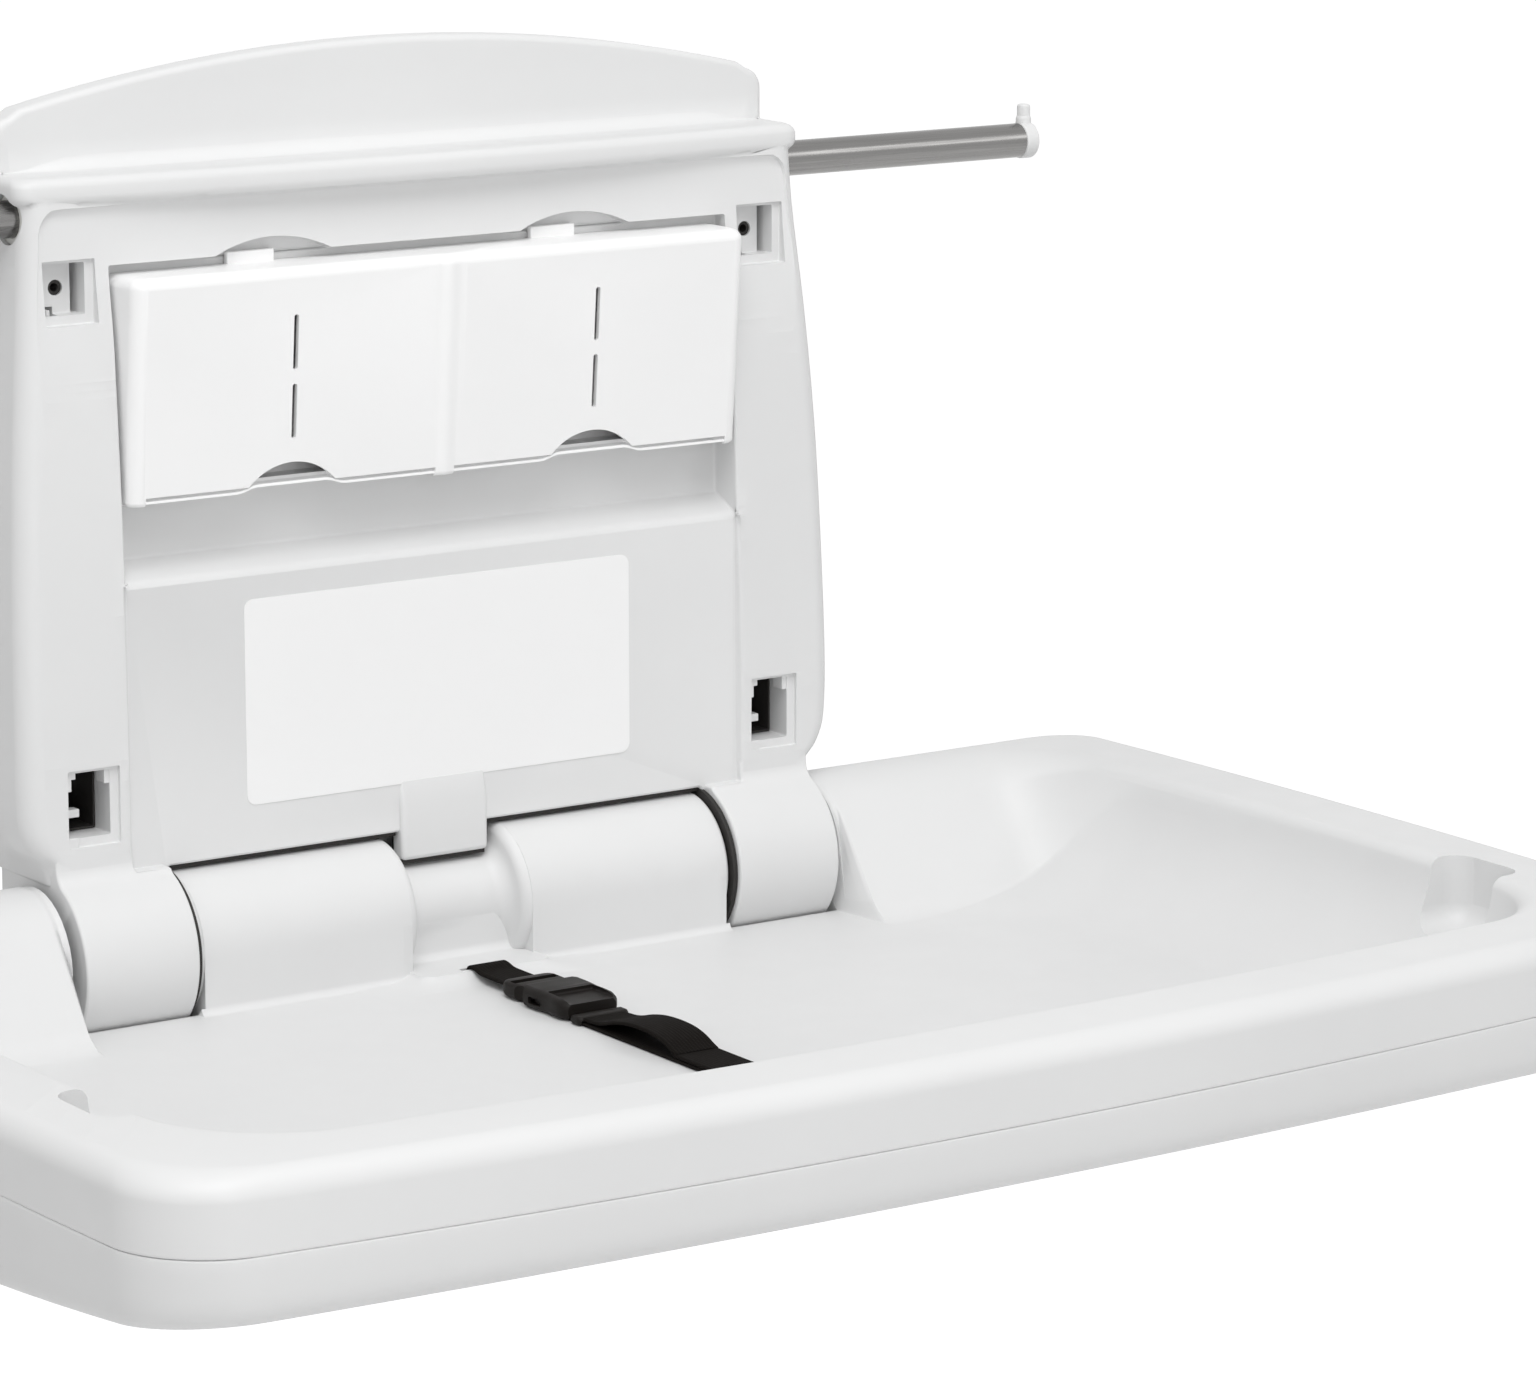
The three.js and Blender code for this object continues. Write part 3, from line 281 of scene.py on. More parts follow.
def soften(piece: bpy.types.Object, width: float, angle: float = 40.0, segments: int = 3) -> bpy.types.Object:
    """Rolls over every edge sharper than an angle.

    Args:
        piece: The solid that is changed.
        width: Width of the rolled edge in millimetres.
        angle: Edges bent by more degrees than this are rolled.
        segments: Steps of the rounding.

    Returns:
        The changed solid.
    """
    modifier = piece.modifiers.new("soft edges", "BEVEL")
    modifier.width = width * MM
    modifier.segments = segments
    modifier.limit_method = "ANGLE"
    modifier.angle_limit = math.radians(angle)
    modifier.use_clamp_overlap = False
    modifier.miter_outer = "MITER_ARC"
    apply(piece, modifier)
    return piece


def shade(piece: bpy.types.Object, angle: float = 32.0) -> bpy.types.Object:
    """Shades a piece smooth over bends gentler than an angle in degrees, and keeps flat faces flat."""
    select_only(piece)
    bpy.ops.object.shade_smooth_by_angle(angle=math.radians(angle))
    modifier = piece.modifiers.new("flat faces", "WEIGHTED_NORMAL")
    modifier.keep_sharp = True
    apply(piece, modifier)
    normals = piece.data.corner_normals
    for face in piece.data.polygons:
        if len(face.vertices) > 4:
            bends = [normals[k].vector.angle(face.normal, 0.0) for k in face.loop_indices]
            face.use_smooth = max(bends) > math.radians(2.5)
    return piece


# Finishes


class Axis(Enum):
    """The direction that a finish's fine lines run in."""

    X = (1.0, 60.0, 60.0)
    Y = (60.0, 1.0, 60.0)


def new_material(name: str) -> tuple[bpy.types.Material, bpy.types.NodeTree, bpy.types.Node, bpy.types.Node]:
    """A material with its shader and the piece's own coordinates.

    Args:
        name: The material's name.

    Returns:
        The material, its node tree, its Principled shader and its coordinate node.
    """
    material = bpy.data.materials.new(name)
    material.use_nodes = True
    tree = material.node_tree
    shader = tree.nodes["Principled BSDF"]
    place = tree.nodes.new("ShaderNodeTexCoord")
    return material, tree, shader, place


def noise(tree: bpy.types.NodeTree, place: bpy.types.NodeSocket, scale: float, detail: float = 3.0) -> bpy.types.Node:
    """A noise pattern on given coordinates, with its scale in features per metre."""
    node = tree.nodes.new("ShaderNodeTexNoise")
    node.inputs["Scale"].default_value = scale
    node.inputs["Detail"].default_value = detail
    tree.links.new(place, node.inputs["Vector"])
    return node


def spread(tree: bpy.types.NodeTree, value: bpy.types.NodeSocket, low: float, high: float) -> bpy.types.NodeSocket:
    """Maps the middle of a noise pattern onto a range."""
    node = tree.nodes.new("ShaderNodeMapRange")
    node.inputs["From Min"].default_value = 0.3
    node.inputs["From Max"].default_value = 0.7
    node.inputs["To Min"].default_value = low
    node.inputs["To Max"].default_value = high
    tree.links.new(value, node.inputs["Value"])
    return node.outputs["Result"]


def tint(
    tree: bpy.types.NodeTree, share: bpy.types.NodeSocket, first: Sequence[float], second: Sequence[float]
) -> bpy.types.NodeSocket:
    """Mixes two colours by a pattern.

    Args:
        tree: The material's node tree.
        share: The pattern, 0 for the first colour and 1 for the second.
        first: Linear red, green and blue.
        second: Linear red, green and blue.

    Returns:
        The mixed colour's socket.
    """
    node = tree.nodes.new("ShaderNodeMix")
    node.data_type = "RGBA"
    node.inputs["A"].default_value = (*first, 1)
    node.inputs["B"].default_value = (*second, 1)
    tree.links.new(share, node.inputs["Factor"])
    return node.outputs["Result"]


def emboss(
    tree: bpy.types.NodeTree,
    height: bpy.types.NodeSocket,
    shader: bpy.types.Node,
    depth: float,
    strength: float,
    below: bpy.types.NodeSocket | None = None,
) -> bpy.types.NodeSocket:
    """Turns a pattern into relief on a shader.

    Args:
        tree: The material's node tree.
        height: The pattern.
        shader: The shader whose normal is bent.
        depth: Depth of the relief in millimetres.
        strength: Share of the relief that shows.
        below: The normal of a coarser relief, if there is one.

    Returns:
        The bent normal's socket.
    """
    bump = tree.nodes.new("ShaderNodeBump")
    bump.inputs["Distance"].default_value = depth * MM
    bump.inputs["Strength"].default_value = strength
    tree.links.new(height, bump.inputs["Height"])
    if below:
        tree.links.new(below, bump.inputs["Normal"])
    tree.links.new(bump.outputs["Normal"], shader.inputs["Normal"])
    return bump.outputs["Normal"]


@dataclass(frozen=True)
class MouldedPlastic:
    """A moulded plastic with a fine sparked grain and slightly uneven gloss."""

    name: str
    colour: tuple[float, float, float]
    shadow: tuple[float, float, float]
    gloss: Span = (0.44, 0.56)
    grain: float = 1500.0
    depth: float = 0.06
    shine: float = 0.42

    def material(self) -> bpy.types.Material:
        """Builds the finish.

        Returns:
            The new material.
        """
        material, tree, shader, place = new_material(self.name)
        where = place.outputs["Object"]
        cloud = noise(tree, where, 7.0)
        share = spread(tree, cloud.outputs["Fac"], 0.0, 1.0)
        tree.links.new(tint(tree, share, self.colour, self.shadow), shader.inputs["Base Color"])
        patch = noise(tree, where, 42.0)
        tree.links.new(spread(tree, patch.outputs["Fac"], *self.gloss), shader.inputs["Roughness"])
        grain = noise(tree, where, self.grain, 2.0)
        flow = noise(tree, where, 60.0, 1.0)
        below = emboss(tree, flow.outputs["Fac"], shader, 0.12, 0.10)
        emboss(tree, grain.outputs["Fac"], shader, self.depth, 0.22, below)
        shader.inputs["Specular IOR Level"].default_value = self.shine
        return material


@dataclass(frozen=True)
class LinedMetal:
    """A metal with fine drawn lines."""

    name: str
    colour: tuple[float, float, float]
    gloss: Span = (0.26, 0.4)
    lines: Axis = Axis.X

    def material(self) -> bpy.types.Material:
        """Builds the finish.

        Returns:
            The new material.
        """
        material, tree, shader, place = new_material(self.name)
        turn = tree.nodes.new("ShaderNodeMapping")
        turn.inputs["Scale"].default_value = self.lines.value
        tree.links.new(place.outputs["Object"], turn.inputs["Vector"])
        line = noise(tree, turn.outputs["Vector"], 22.0, 4.0)
        darker = tuple(0.82 * c for c in self.colour)
        share = spread(tree, line.outputs["Fac"], 0.0, 1.0)
        tree.links.new(tint(tree, share, self.colour, darker), shader.inputs["Base Color"])
        tree.links.new(spread(tree, line.outputs["Fac"], *self.gloss), shader.inputs["Roughness"])
        emboss(tree, line.outputs["Fac"], shader, 0.03, 0.2)
        shader.inputs["Metallic"].default_value = 1.0
        return material


@dataclass(frozen=True)
class WovenTape:
    """A narrow woven tape with cross ribs and lengthwise cords."""

    name: str
    colour: tuple[float, float, float]
    thread: tuple[float, float, float]
    rib: float = 1.1
    cord: float = 1.9

    def bands(self, tree: bpy.types.NodeTree, where: bpy.types.NodeSocket, axis: str, pitch: float) -> bpy.types.Node:
        """A row of ridges across one axis, with their pitch in millimetres."""
        node = tree.nodes.new("ShaderNodeTexWave")
        node.bands_direction = axis
        node.inputs["Scale"].default_value = math.tau / (20 * pitch * MM)
        node.inputs["Distortion"].default_value = 0.6
        node.inputs["Detail Scale"].default_value = 3.0
        tree.links.new(where, node.inputs["Vector"])
        return node

    def material(self) -> bpy.types.Material:
        """Builds the finish.

        Returns:
            The new material.
        """
        material, tree, shader, place = new_material(self.name)
        where = place.outputs["Object"]
        ribs = self.bands(tree, where, "Y", self.rib)
        cords = self.bands(tree, where, "X", self.cord)
        weave = tree.nodes.new("ShaderNodeMath")
        weave.operation = "MULTIPLY"
        tree.links.new(ribs.outputs["Fac"], weave.inputs[0])
        tree.links.new(cords.outputs["Fac"], weave.inputs[1])
        tree.links.new(tint(tree, weave.outputs[0], self.colour, self.thread), shader.inputs["Base Color"])
        emboss(tree, weave.outputs[0], shader, 0.35, 0.55)
        shader.inputs["Roughness"].default_value = 0.82
        shader.inputs["Specular IOR Level"].default_value = 0.07
        return material


PLATINUM = MouldedPlastic("platinum_plastic", (0.725, 0.727, 0.727), (0.705, 0.707, 0.708))
WHITE = MouldedPlastic("white_plastic", (0.90, 0.90, 0.90), (0.885, 0.885, 0.885), (0.36, 0.46), 1900.0, 0.03)
NYLON = MouldedPlastic("bush_nylon", (0.70, 0.70, 0.67), (0.66, 0.66, 0.63), (0.4, 0.5))
BLACK = MouldedPlastic("buckle_plastic", (0.008, 0.0066, 0.0058), (0.012, 0.0102, 0.009), (0.4, 0.52), 1700.0, 0.05, 0.14)
# Near-black plastic for the dark pieces that paint shade into the pockets, the screw holes and the gaps at the hinge.
SHADE_BLACK = MouldedPlastic("painted_shade_plastic", (0.028, 0.026, 0.025), (0.035, 0.033, 0.031), (0.5, 0.62), 1500.0, 0.05, 0.25)
FILM = MouldedPlastic("blank_film", (0.88, 0.88, 0.88), (0.87, 0.87, 0.87), (0.3, 0.36), 2600.0, 0.01)
ZINC = LinedMetal("zinc_steel", (0.56, 0.57, 0.59), (0.3, 0.46))
ALUMINIUM = LinedMetal("satin_aluminium", (0.25, 0.246, 0.242), (0.2, 0.32))
WEBBING = WovenTape("webbing", (0.0045, 0.0036, 0.003), (0.012, 0.0098, 0.0084))

Finish = MouldedPlastic | LinedMetal | WovenTape


class Paintbox:
    """Makes each finish once and puts it on pieces."""

    def __init__(self) -> None:
        """Starts with no finish made."""
        self.made: dict[Finish, bpy.types.Material] = {}

    def coat(self, piece: bpy.types.Object, finish: Finish) -> None:
        """Gives a piece one finish all over."""
        if finish not in self.made:
            self.made[finish] = finish.material()
        piece.data.materials.clear()
        piece.data.materials.append(self.made[finish])
        for face in piece.data.polygons:
            face.material_index = 0

    def dress(self, piece: bpy.types.Object, finish: Finish, body: str, *nodes: str) -> bpy.types.Object:
        """Finishes a new piece, sets it on its body and hides the frame's nodes that it stands for.

        Args:
            piece: The new piece.
            finish: Its finish.
            body: The body that it moves with.
            nodes: The frame's nodes that it stands for.

        Returns:
            The same piece.
        """
        self.coat(piece, finish)
        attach(piece, body)
        if nodes:
            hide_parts(*nodes)
        LOG.info("%s rides on %s with %s, %d faces", piece.name, body, finish.name, len(piece.data.polygons))
        return piece

    def repaint(self, stems: Iterable[str], finish: Finish) -> None:
        """Puts a finish on the frame's own nodes whose names start with a stem."""
        for stem in stems:
            for name, node in frame["nodes"].items():
                if name.startswith(stem):
                    self.coat(node, finish)


# Shapes drawn round the hinge line


def arc(centre: Point, radius: float, start: float, end: float, steps: int) -> list[Point]:
    """Points along an arc in a plane.

    Args:
        centre: The arc's middle.
        radius: Its radius.
        start: Its first angle in degrees.
        end: Its last angle in degrees.
        steps: Number of chords.

    Returns:
        The points, both ends included.
    """
    turns = [math.radians(lerp(start, end, k / steps)) for k in range(steps + 1)]
    return [(centre[0] + radius * math.cos(a), centre[1] + radius * math.sin(a)) for a in turns]


def ease(t: float) -> float:
    """A share from 0 to 1 that starts and ends gently."""
    t = min(1.0, max(0.0, t))
    return t * t * (3 - 2 * t)


def groove(name: str, edge: Sequence[Point], steps: int = 96) -> bpy.types.Object:
    """A solid of revolution round the hinge line.

    Args:
        name: The object's name.
        edge: The closed outline as (x, radius) points, radii above 0.
        steps: Number of facets round it.

    Returns:
        The new solid.
    """
    rings = []
    for k in range(steps):
        a = math.tau * k / steps
        rings.append([bed_point(x, r * math.cos(a), r * math.sin(a)) for x, r in edge])
    count = len(edge)
    faces = []
    for j in range(steps):
        for i in range(count):
            n, m = (i + 1) % count, (j + 1) % steps
            faces.append((j * count + i, j * count + n, m * count + n, m * count + i))
    mesh = bpy.data.meshes.new(name)
    mesh.from_pydata([tuple(p) for ring in rings for p in ring], [], faces)
    piece = bpy.data.objects.new(name, mesh)
    bpy.context.scene.collection.objects.link(piece)
    face_out(piece)
    return piece


# The folding bed

Profile = list[Point]


@dataclass
class Bed:
    """The folding bed: a basin with a rolled rim over a shallow wedge-shaped base."""

    half: float = 422.0
    side_bow: float = 7.0
    front: float = 503.0
    front_bow: float = 24.0
    front_corner: float = 40.0
    rear_corner: float = 20.0
    barrel: float = 37.5
    rim_round: float = 12.0
    inner_round: float = 7.0
    rim_width: float = 51.0
    part_line: float = 2.6
    floor: float = -28.5
    floor_half: float = 298.0
    floor_front: float = 406.0
    floor_corner: float = 92.0
    floor_rear_corner: float = 60.0
    floor_bow: float = 4.0
    wall: float = 3.5
    barrel_fillet: float = 4.0
    shoulder_turn: float = 35.7
    shoulder_fillet: float = 23.5
    slot: Span = (153.8, 222.5)
    slot_round: float = 2.2
    slot_radius: float = 45.2
    ridge: float = 6.0
    relief: float = 30.0
    relief_core: float = 23.0
    relief_cove: float = 9.0
    barrel_round: float = 5.0
    platform_top: float = -23.5
    platform_half: float = 37.0
    notch: Span = (328.0, 388.0)
    notch_run: Span = (-379.3, -331.3)
    notch_foot: float = 3.0
    base_front: float = -25.3
    base_slope: float = 0.12
    base_run: float = 430.0
    screws: tuple[Point, ...] = ((396.0, -90.0), (396.0, -250.0), (300.0, -466.0), (105.0, -478.0))
    corner_steps: int = 14
    wall_steps: int = 14
    round_steps: int = 7

    def ring(
        self,
        rear_x: Sequence[float],
        side: Point,
        front: Point,
        rear: Callable[[float], Point],
        turns: Span,
        bow: float,
        level: Callable[[float, float], float] | None = None,
    ) -> Ring:
        """One closed line round the bed.

        Args:
            rear_x: Where points stand along the rear, from the middle outwards.
            side: Distance from the middle and height at the sides.
            front: Distance from the hinge and height at the front.
            rear: Place and height along the rear, by distance from the middle.
            turns: Radii of the front and the rear corners.
            bow: How far the front bulges.
            level: Turns a height and a place into the final height.

        Returns:
            The ring, in metres.
        """
        end = side[0] - self.side_bow
        square = front[0] - bow
        rear_y, rear_z = rear(self.half)
        front_turn, rear_turn = turns[0], min(turns[1], end - rear_x[-1] - 3)
        right = [(x, *rear(x)) for x in rear_x]
        for x, y in arc((end - rear_turn, rear_y - rear_turn), rear_turn, 90, 0, self.corner_steps):
            share = max(0.0, (y - rear_y) / rear_turn + 1) ** 2
            right.append((x, y, lerp(side[1], rear_z, share)))
        start, stop = rear_y - rear_turn, front_turn - square
        right += [(end, lerp(start, stop, k / 16), side[1]) for k in range(1, 16)]
        for x, y in arc((end - front_turn, stop), front_turn, 0, -90, self.corner_steps):
            share = min(1.0, (stop - y) / front_turn) ** 2
            right.append((x, y, lerp(side[1], front[1], share)))
        right += [((end - front_turn) * (1 - k / 24), -square, front[1]) for k in range(1, 25)]
        mid, reach = (rear_y - square) / 2, (rear_y + square) / 2
        bent = []
        for x, y, z in right:
            pull = bow * (1 - (x / end) ** 2) * max(0.0, (rear_y - y) / (rear_y + square))
            swell = max(0.0, 1 - ((y - mid) / reach) ** 2) * ease((x - self.slot[1] - 20) / 60)
            height = level(z, y - pull) if level else z
            bent.append((x * (1 + self.side_bow * swell / end), y - pull, height))
        left = [(-x, y, z) for x, y, z in reversed(bent[1:-1])]
        return [bed_point(*p) for p in bent + left]

    def rim_profile(self, outer: float, floor: float) -> Profile:
        """From the parting line over the rim and down the basin's wall to its floor.

        Args:
            outer: Distance of the outer wall.
            floor: Distance of the floor's edge.

        Returns:
            Distances and heights along the profile.
        """
        top, inner = self.barrel, outer - self.rim_width
        path = [(outer - 0.8, self.part_line), (outer - 0.2, self.part_line + 0.5), (outer, self.part_line + 1.6)]
        path += arc((outer - self.rim_round, top - self.rim_round), self.rim_round, 0, 90, self.round_steps)
        turn = arc((inner + self.inner_round, top - self.inner_round), self.inner_round, 90, 174, self.round_steps)
        path += turn
        x0, z0 = turn[-1]
        for k in range(1, self.wall_steps + 1):
            a = math.radians(lerp(6, 90, k / self.wall_steps))
            run = (1 - math.cos(a) - (1 - math.cos(math.radians(6)))) / math.cos(math.radians(6))
            fall = (math.sin(a) - math.sin(math.radians(6))) / (1 - math.sin(math.radians(6)))
            path.append((x0 - (x0 - floor) * run, z0 - (z0 - self.floor) * fall))
        return path + [(floor - 4, self.floor), (floor - 24, self.floor)]

    def rear_profile(self, count: int, leave: float, fillet: float, undercut: float = 0.0) -> Profile:
        """Over the hinge barrel, straight on from an angle, and round to the floor.

        Args:
            count: Number of points.
            leave: Angle in degrees at which the profile leaves the barrel.
            fillet: Radius at the floor.
            undercut: How far the foot lies behind the barrel.

        Returns:
            Distances and heights along the profile.
        """
        turn = math.radians(leave)
        start = math.degrees(math.asin(self.part_line / self.barrel))
        path = arc((0, 0), self.barrel, start, 180 - leave, count - self.wall_steps - 4)
        drop = (self.barrel * math.sin(turn) - self.floor) / math.cos(turn)
        bend = math.pi / 2 - turn
        foot = -self.barrel * math.cos(turn) - drop * math.sin(turn) - fillet * math.tan(bend / 2) + undercut
        for k in range(self.wall_steps + 1):
            a = bend * (1 - k / self.wall_steps)
            path.append((foot + fillet * math.sin(a), self.floor + fillet * (1 - math.cos(a))))
        return path + [(foot - 4, self.floor), (foot - 24, self.floor)]

    def inset(self, path: Profile, depth: float) -> Profile:
        """Shifts a profile to the inside of the moulding."""
        moved = [(path[0][0] - depth, path[0][1])]
        for j in range(1, len(path)):
            a, p, b = path[j - 1], path[j], path[min(len(path) - 1, j + 1)]
            length = math.hypot(b[0] - a[0], b[1] - a[1])
            moved.append((p[0] - depth * (b[1] - a[1]) / length, p[1] + depth * (b[0] - a[0]) / length))
        return moved

    def tray_rings(self, depth: float) -> list[Ring]:
        """The tray's rings from the parting line to the floor.

        Args:
            depth: How far they lie inside the visible skin.

        Returns:
            The rings, in metres.
        """
        side = self.rim_profile(self.half, self.floor_half)
        front = self.inset(self.rim_profile(self.front, self.floor_front), depth)
        count = len(side)
        barrel = self.inset(self.rear_profile(count, 0, self.barrel_fillet), depth)
        under = self.inset(self.rear_profile(count, 0, self.barrel_fillet, 9), depth)
        shoulder = self.inset(self.rear_profile(count, self.shoulder_turn, self.shoulder_fillet), depth)
        inside = self.inset(side, depth)
        inner, outer = self.slot
        rear_x = [0, 40, 80, 110, 135, 148, inner, inner + 1, inner + 20, outer - 20, outer - 2]
        rear_x += [outer - 1 + (self.ridge + 4) * k / 8 for k in range(9)]
        rings = []
        for j, point in enumerate(inside):
            share = min(1.0, (self.half - side[j][0]) / (self.half - self.floor_half))

            def rear(x: float, j: int = j) -> Point:
                """The rear profile's point at one distance from the middle."""
                if x <= inner:
                    return barrel[j]
                t = ease((x - depth - outer + 1) / self.ridge)
                return tuple(lerp(a, b, t) for a, b in zip(under[j], shoulder[j]))

            turns = (
                lerp(self.front_corner, self.floor_corner, share),
                lerp(self.rear_corner, self.floor_rear_corner, share**0.6),
            )
            bow = lerp(self.front_bow, self.floor_bow, share)
            rings.append(self.ring(rear_x, point, front[j], rear, turns, bow))
        return rings

    def base_level(self, d: float) -> float:
        """Height of the base's underside at one distance from the hinge."""
        s = min(self.front + d, self.base_run)
        return self.base_front - self.base_slope * (s - s * s / (2 * self.base_run))

    def base_rings(self, depth: float) -> list[Ring]:
        """The base's rings from the parting line to the middle of its underside.

        Args:
            depth: How far they lie inside the visible skin.

        Returns:
            The rings, in metres.
        """
        steps = [(0.9, -0.012, 36.6), (0.3, 0.0, 37.1), (0, 0.03, 37.3), (0.2, 0.18, 36.4), (0.6, 0.35, 34.5)]
        steps += [(0.95, 0.53, 31.2), (1.6, 0.70, 27), (2.6, 0.82, 21.5), (4.3, 0.92, 15), (6.6, 0.975, 8.5)]
        steps += [(10, 1, 2), (24, 1, -16), (45, 1, -40), (98, 1, -90), (150, 1, -137), (195, 1, -178)]
        steps += [(230, 1, -210), (255, 1, -230)]
        rings = []
        for inward, down, rear in steps:
            share = min(1.0, inward / 180)
            deep = self.front - inward + rear - 2 * depth
            turns = (
                min(lerp(self.front_corner, 60, share), 0.4 * deep),
                min(lerp(self.rear_corner, 12, share), 0.2 * deep),
            )

            def level(k: float, d: float) -> float:
                """Height of a point by its share of the way down."""
                return lerp(self.part_line - GAP, self.base_level(d) + depth, k)

            rings.append(
                self.ring(
                    [0, 40, 80, 120],
                    (self.half - inward - depth, down),
                    (self.front - inward - depth, down),
                    lambda _, r=rear: (r - depth, down),
                    turns,
                    lerp(self.front_bow, 4, share),
                    level,
                )
            )
        return rings

    def barrel_cut(
        self, name: str, inner: float, outer: float, core: float, reach: float, r: float, cove: float = 0.0
    ) -> bpy.types.Object:
        """A groove round the hinge line whose inner lips are rolled.

        Args:
            name: The object's name.
            inner: Its inner end, or the mirrored outer end for a groove across the middle.
            outer: Its outer end.
            core: Radius left standing at the middle.
            reach: Radius that it cuts to.
            r: Radius of the rolled lips.
            cove: Radius of the hollow between the core and the ends.

        Returns:
            The new solid.
        """
        lip = [(r * (math.cos(a) - 1), r * math.sin(a)) for a in (math.pi / 2 * k / 7 for k in range(8))]
        start = [(inner + dx, self.barrel - r + dr) for dx, dr in lip]
        if cove:
            start = arc((inner + cove, core + cove), cove, 270, 180, 6)[:-1] + start
        else:
            start.insert(0, (inner, core))
        if inner == -outer:
            end = [(-x, rad) for x, rad in reversed(start)]
        else:
            end = [(outer, self.barrel), (outer, core)]
        edge = [*start, (start[-1][0], reach), (end[0][0], reach), *end]
        return groove(name, edge)

    def platform(self) -> bpy.types.Object:
        """The raised pad that the strap comes out of, flared into the floor."""
        rings = []
        for k in range(13):
            t = k / 12
            flare = 1 - math.sqrt(max(0.0, 1 - t * t))
            half = self.platform_half + 2 * t + 34 * flare
            near, far = -34.0, -53 - 5 * t - 10 * flare
            h = lerp(self.platform_top, self.floor - 0.25, t ** 0.8)
            outline = [(-half, near), (half, near)]
            corner = 7 + 6 * t
            outline += [(x, y) for x, y in arc((half - corner, far + corner), corner, 0, -90, 6)]
            outline += [(x, y) for x, y in arc((corner - half, far + corner), corner, -90, -180, 6)]
            rings.append([bed_point(x, d, h) for x, d in outline])
        return skin("platform", rings)

    def skirt(self) -> bpy.types.Object:
        """The upright face under the barrel's core, hollowed into the pad."""
        r, d, h, half = 5.0, -self.relief_core + 0.4, self.platform_top - 0.3, self.relief + 2
        line = [(d + 14, -2), (d, -2), *arc((d - r, h + r), r, 0, -90, 6), (d - r, h - 2), (d + 14, h - 2)]
        return prism("skirt", [bed_point(-half, a, b) for a, b in line], Vector((2 * half, 0, 0)) * MM)

    def notch_block(self, side: Side, grow: float, soft: float) -> bpy.types.Object:
        """The room for a rod cap in the rim, grown by a wall thickness."""
        near, far = self.notch_run
        x = side.span(self.notch[0], self.notch[1] + grow)
        run = (near - grow, far + grow)
        return bed_block("notch", x, run, (self.notch_foot - grow, self.barrel + 25), soft)

    def tray(self) -> bpy.types.Object:
        """Builds the tray.

        Returns:
            The tray, cut and closed.
        """
        outside = self.tray_rings(0)
        tray = skin("bed_tray_skin", [*reversed(outside), *self.tray_rings(self.wall)])
        middle = self.tray_rings(self.wall / 2)
        deep = [p.copy() for p in middle[0]]
        for p in deep:
            p.z = (HINGE_Z - 60) * MM
        full = skin("full", [*reversed(middle), deep])
        inner, outer = self.slot
        walls = []
        for side in Side:
            for a, b in ((inner - 6, inner + 1.5), (outer - 1, outer + 9)):
                walls.append(bed_block("cheek", side.span(a, b), (-76, 28), (self.floor - self.wall, 40)))
            walls.append(self.notch_block(side, self.wall, 0))
        half = self.relief + self.wall + 3
        walls.append(bed_block("relief_wall", (-half, half), (-41, 26), (self.floor - self.wall, 40)))
        for wall in walls:
            combine(wall, [full_copy(full)], Cut.KEEP)
            combine(tray, [wall], Cut.JOIN)
        bpy.data.objects.remove(full)
        combine(tray, [self.platform()], Cut.JOIN)
        cuts = []
        for side in Side:
            slot = self.barrel_cut("slot", inner, outer, 2, self.slot_radius, self.slot_round)
            if side is Side.LEFT:
                for v in slot.data.vertices:
                    v.co.x = -v.co.x
                face_out(slot)
            cuts.append(slot)
            cuts.append(bed_block("slot_rear", side.span(inner, outer), (0, 60), (-60, 60)))
            cuts.append(self.notch_block(side, 0, 11))
        relief = self.barrel_cut(
            "relief", -self.relief, self.relief, self.relief_core, 49, self.barrel_round, self.relief_cove
        )
        combine(relief, [bed_block("limit", (-90, 90), (-60, 14), (self.platform_top, 60))], Cut.KEEP)
        cuts.append(relief)
        cuts.append(bed_block("strap_slot", (-14, 14), (-49.7, -46.3), (-60, 0), 0.8))
        cuts.append(bed_block("front_slot", (-14, 14), (-440, -404), (self.floor - 0.2, self.floor + 5), 1.2))
        combine(tray, cuts, Cut.TAKE)
        combine(tray, [self.skirt()], Cut.JOIN)
        return shade(tray, 38)

    def base(self) -> bpy.types.Object:
        """Builds the base.

        Returns:
            The base, with the screw wells and the hinge wells cut.
        """
        base = skin("bed_base_skin", [*reversed(self.base_rings(self.wall)), *self.base_rings(0)])
        split_ends(base)
        cuts = []
        for side in Side:
            x = side.span(self.slot[0] - 1, self.slot[1] + 1)
            cuts.append(bed_block("well", x, (-46, 60), (-45.5, 20), 0))
            for sx, d in self.screws:
                at = bed_point(side.value * sx, d, 0)
                cuts.append(rod("bore", 4.6, at + Vector((0, 0, -0.1)), at + Vector((0, 0, -0.012)), 32))
        combine(base, cuts, Cut.TAKE)
        return shade(base, 38)


def split_ends(piece: bpy.types.Object) -> None:
    """Splits a skin's end faces, which aren't quite flat, into triangles round their middle."""
    select_only(piece)
    bpy.ops.object.mode_set(mode="EDIT")
    bpy.ops.mesh.select_mode(type="FACE")
    bpy.ops.mesh.select_all(action="DESELECT")
    bpy.ops.mesh.select_face_by_sides(number=4, type="GREATER", extend=False)
    bpy.ops.mesh.poke(offset=0.0, center_mode="MEDIAN_WEIGHTED")
    bpy.ops.object.mode_set(mode="OBJECT")


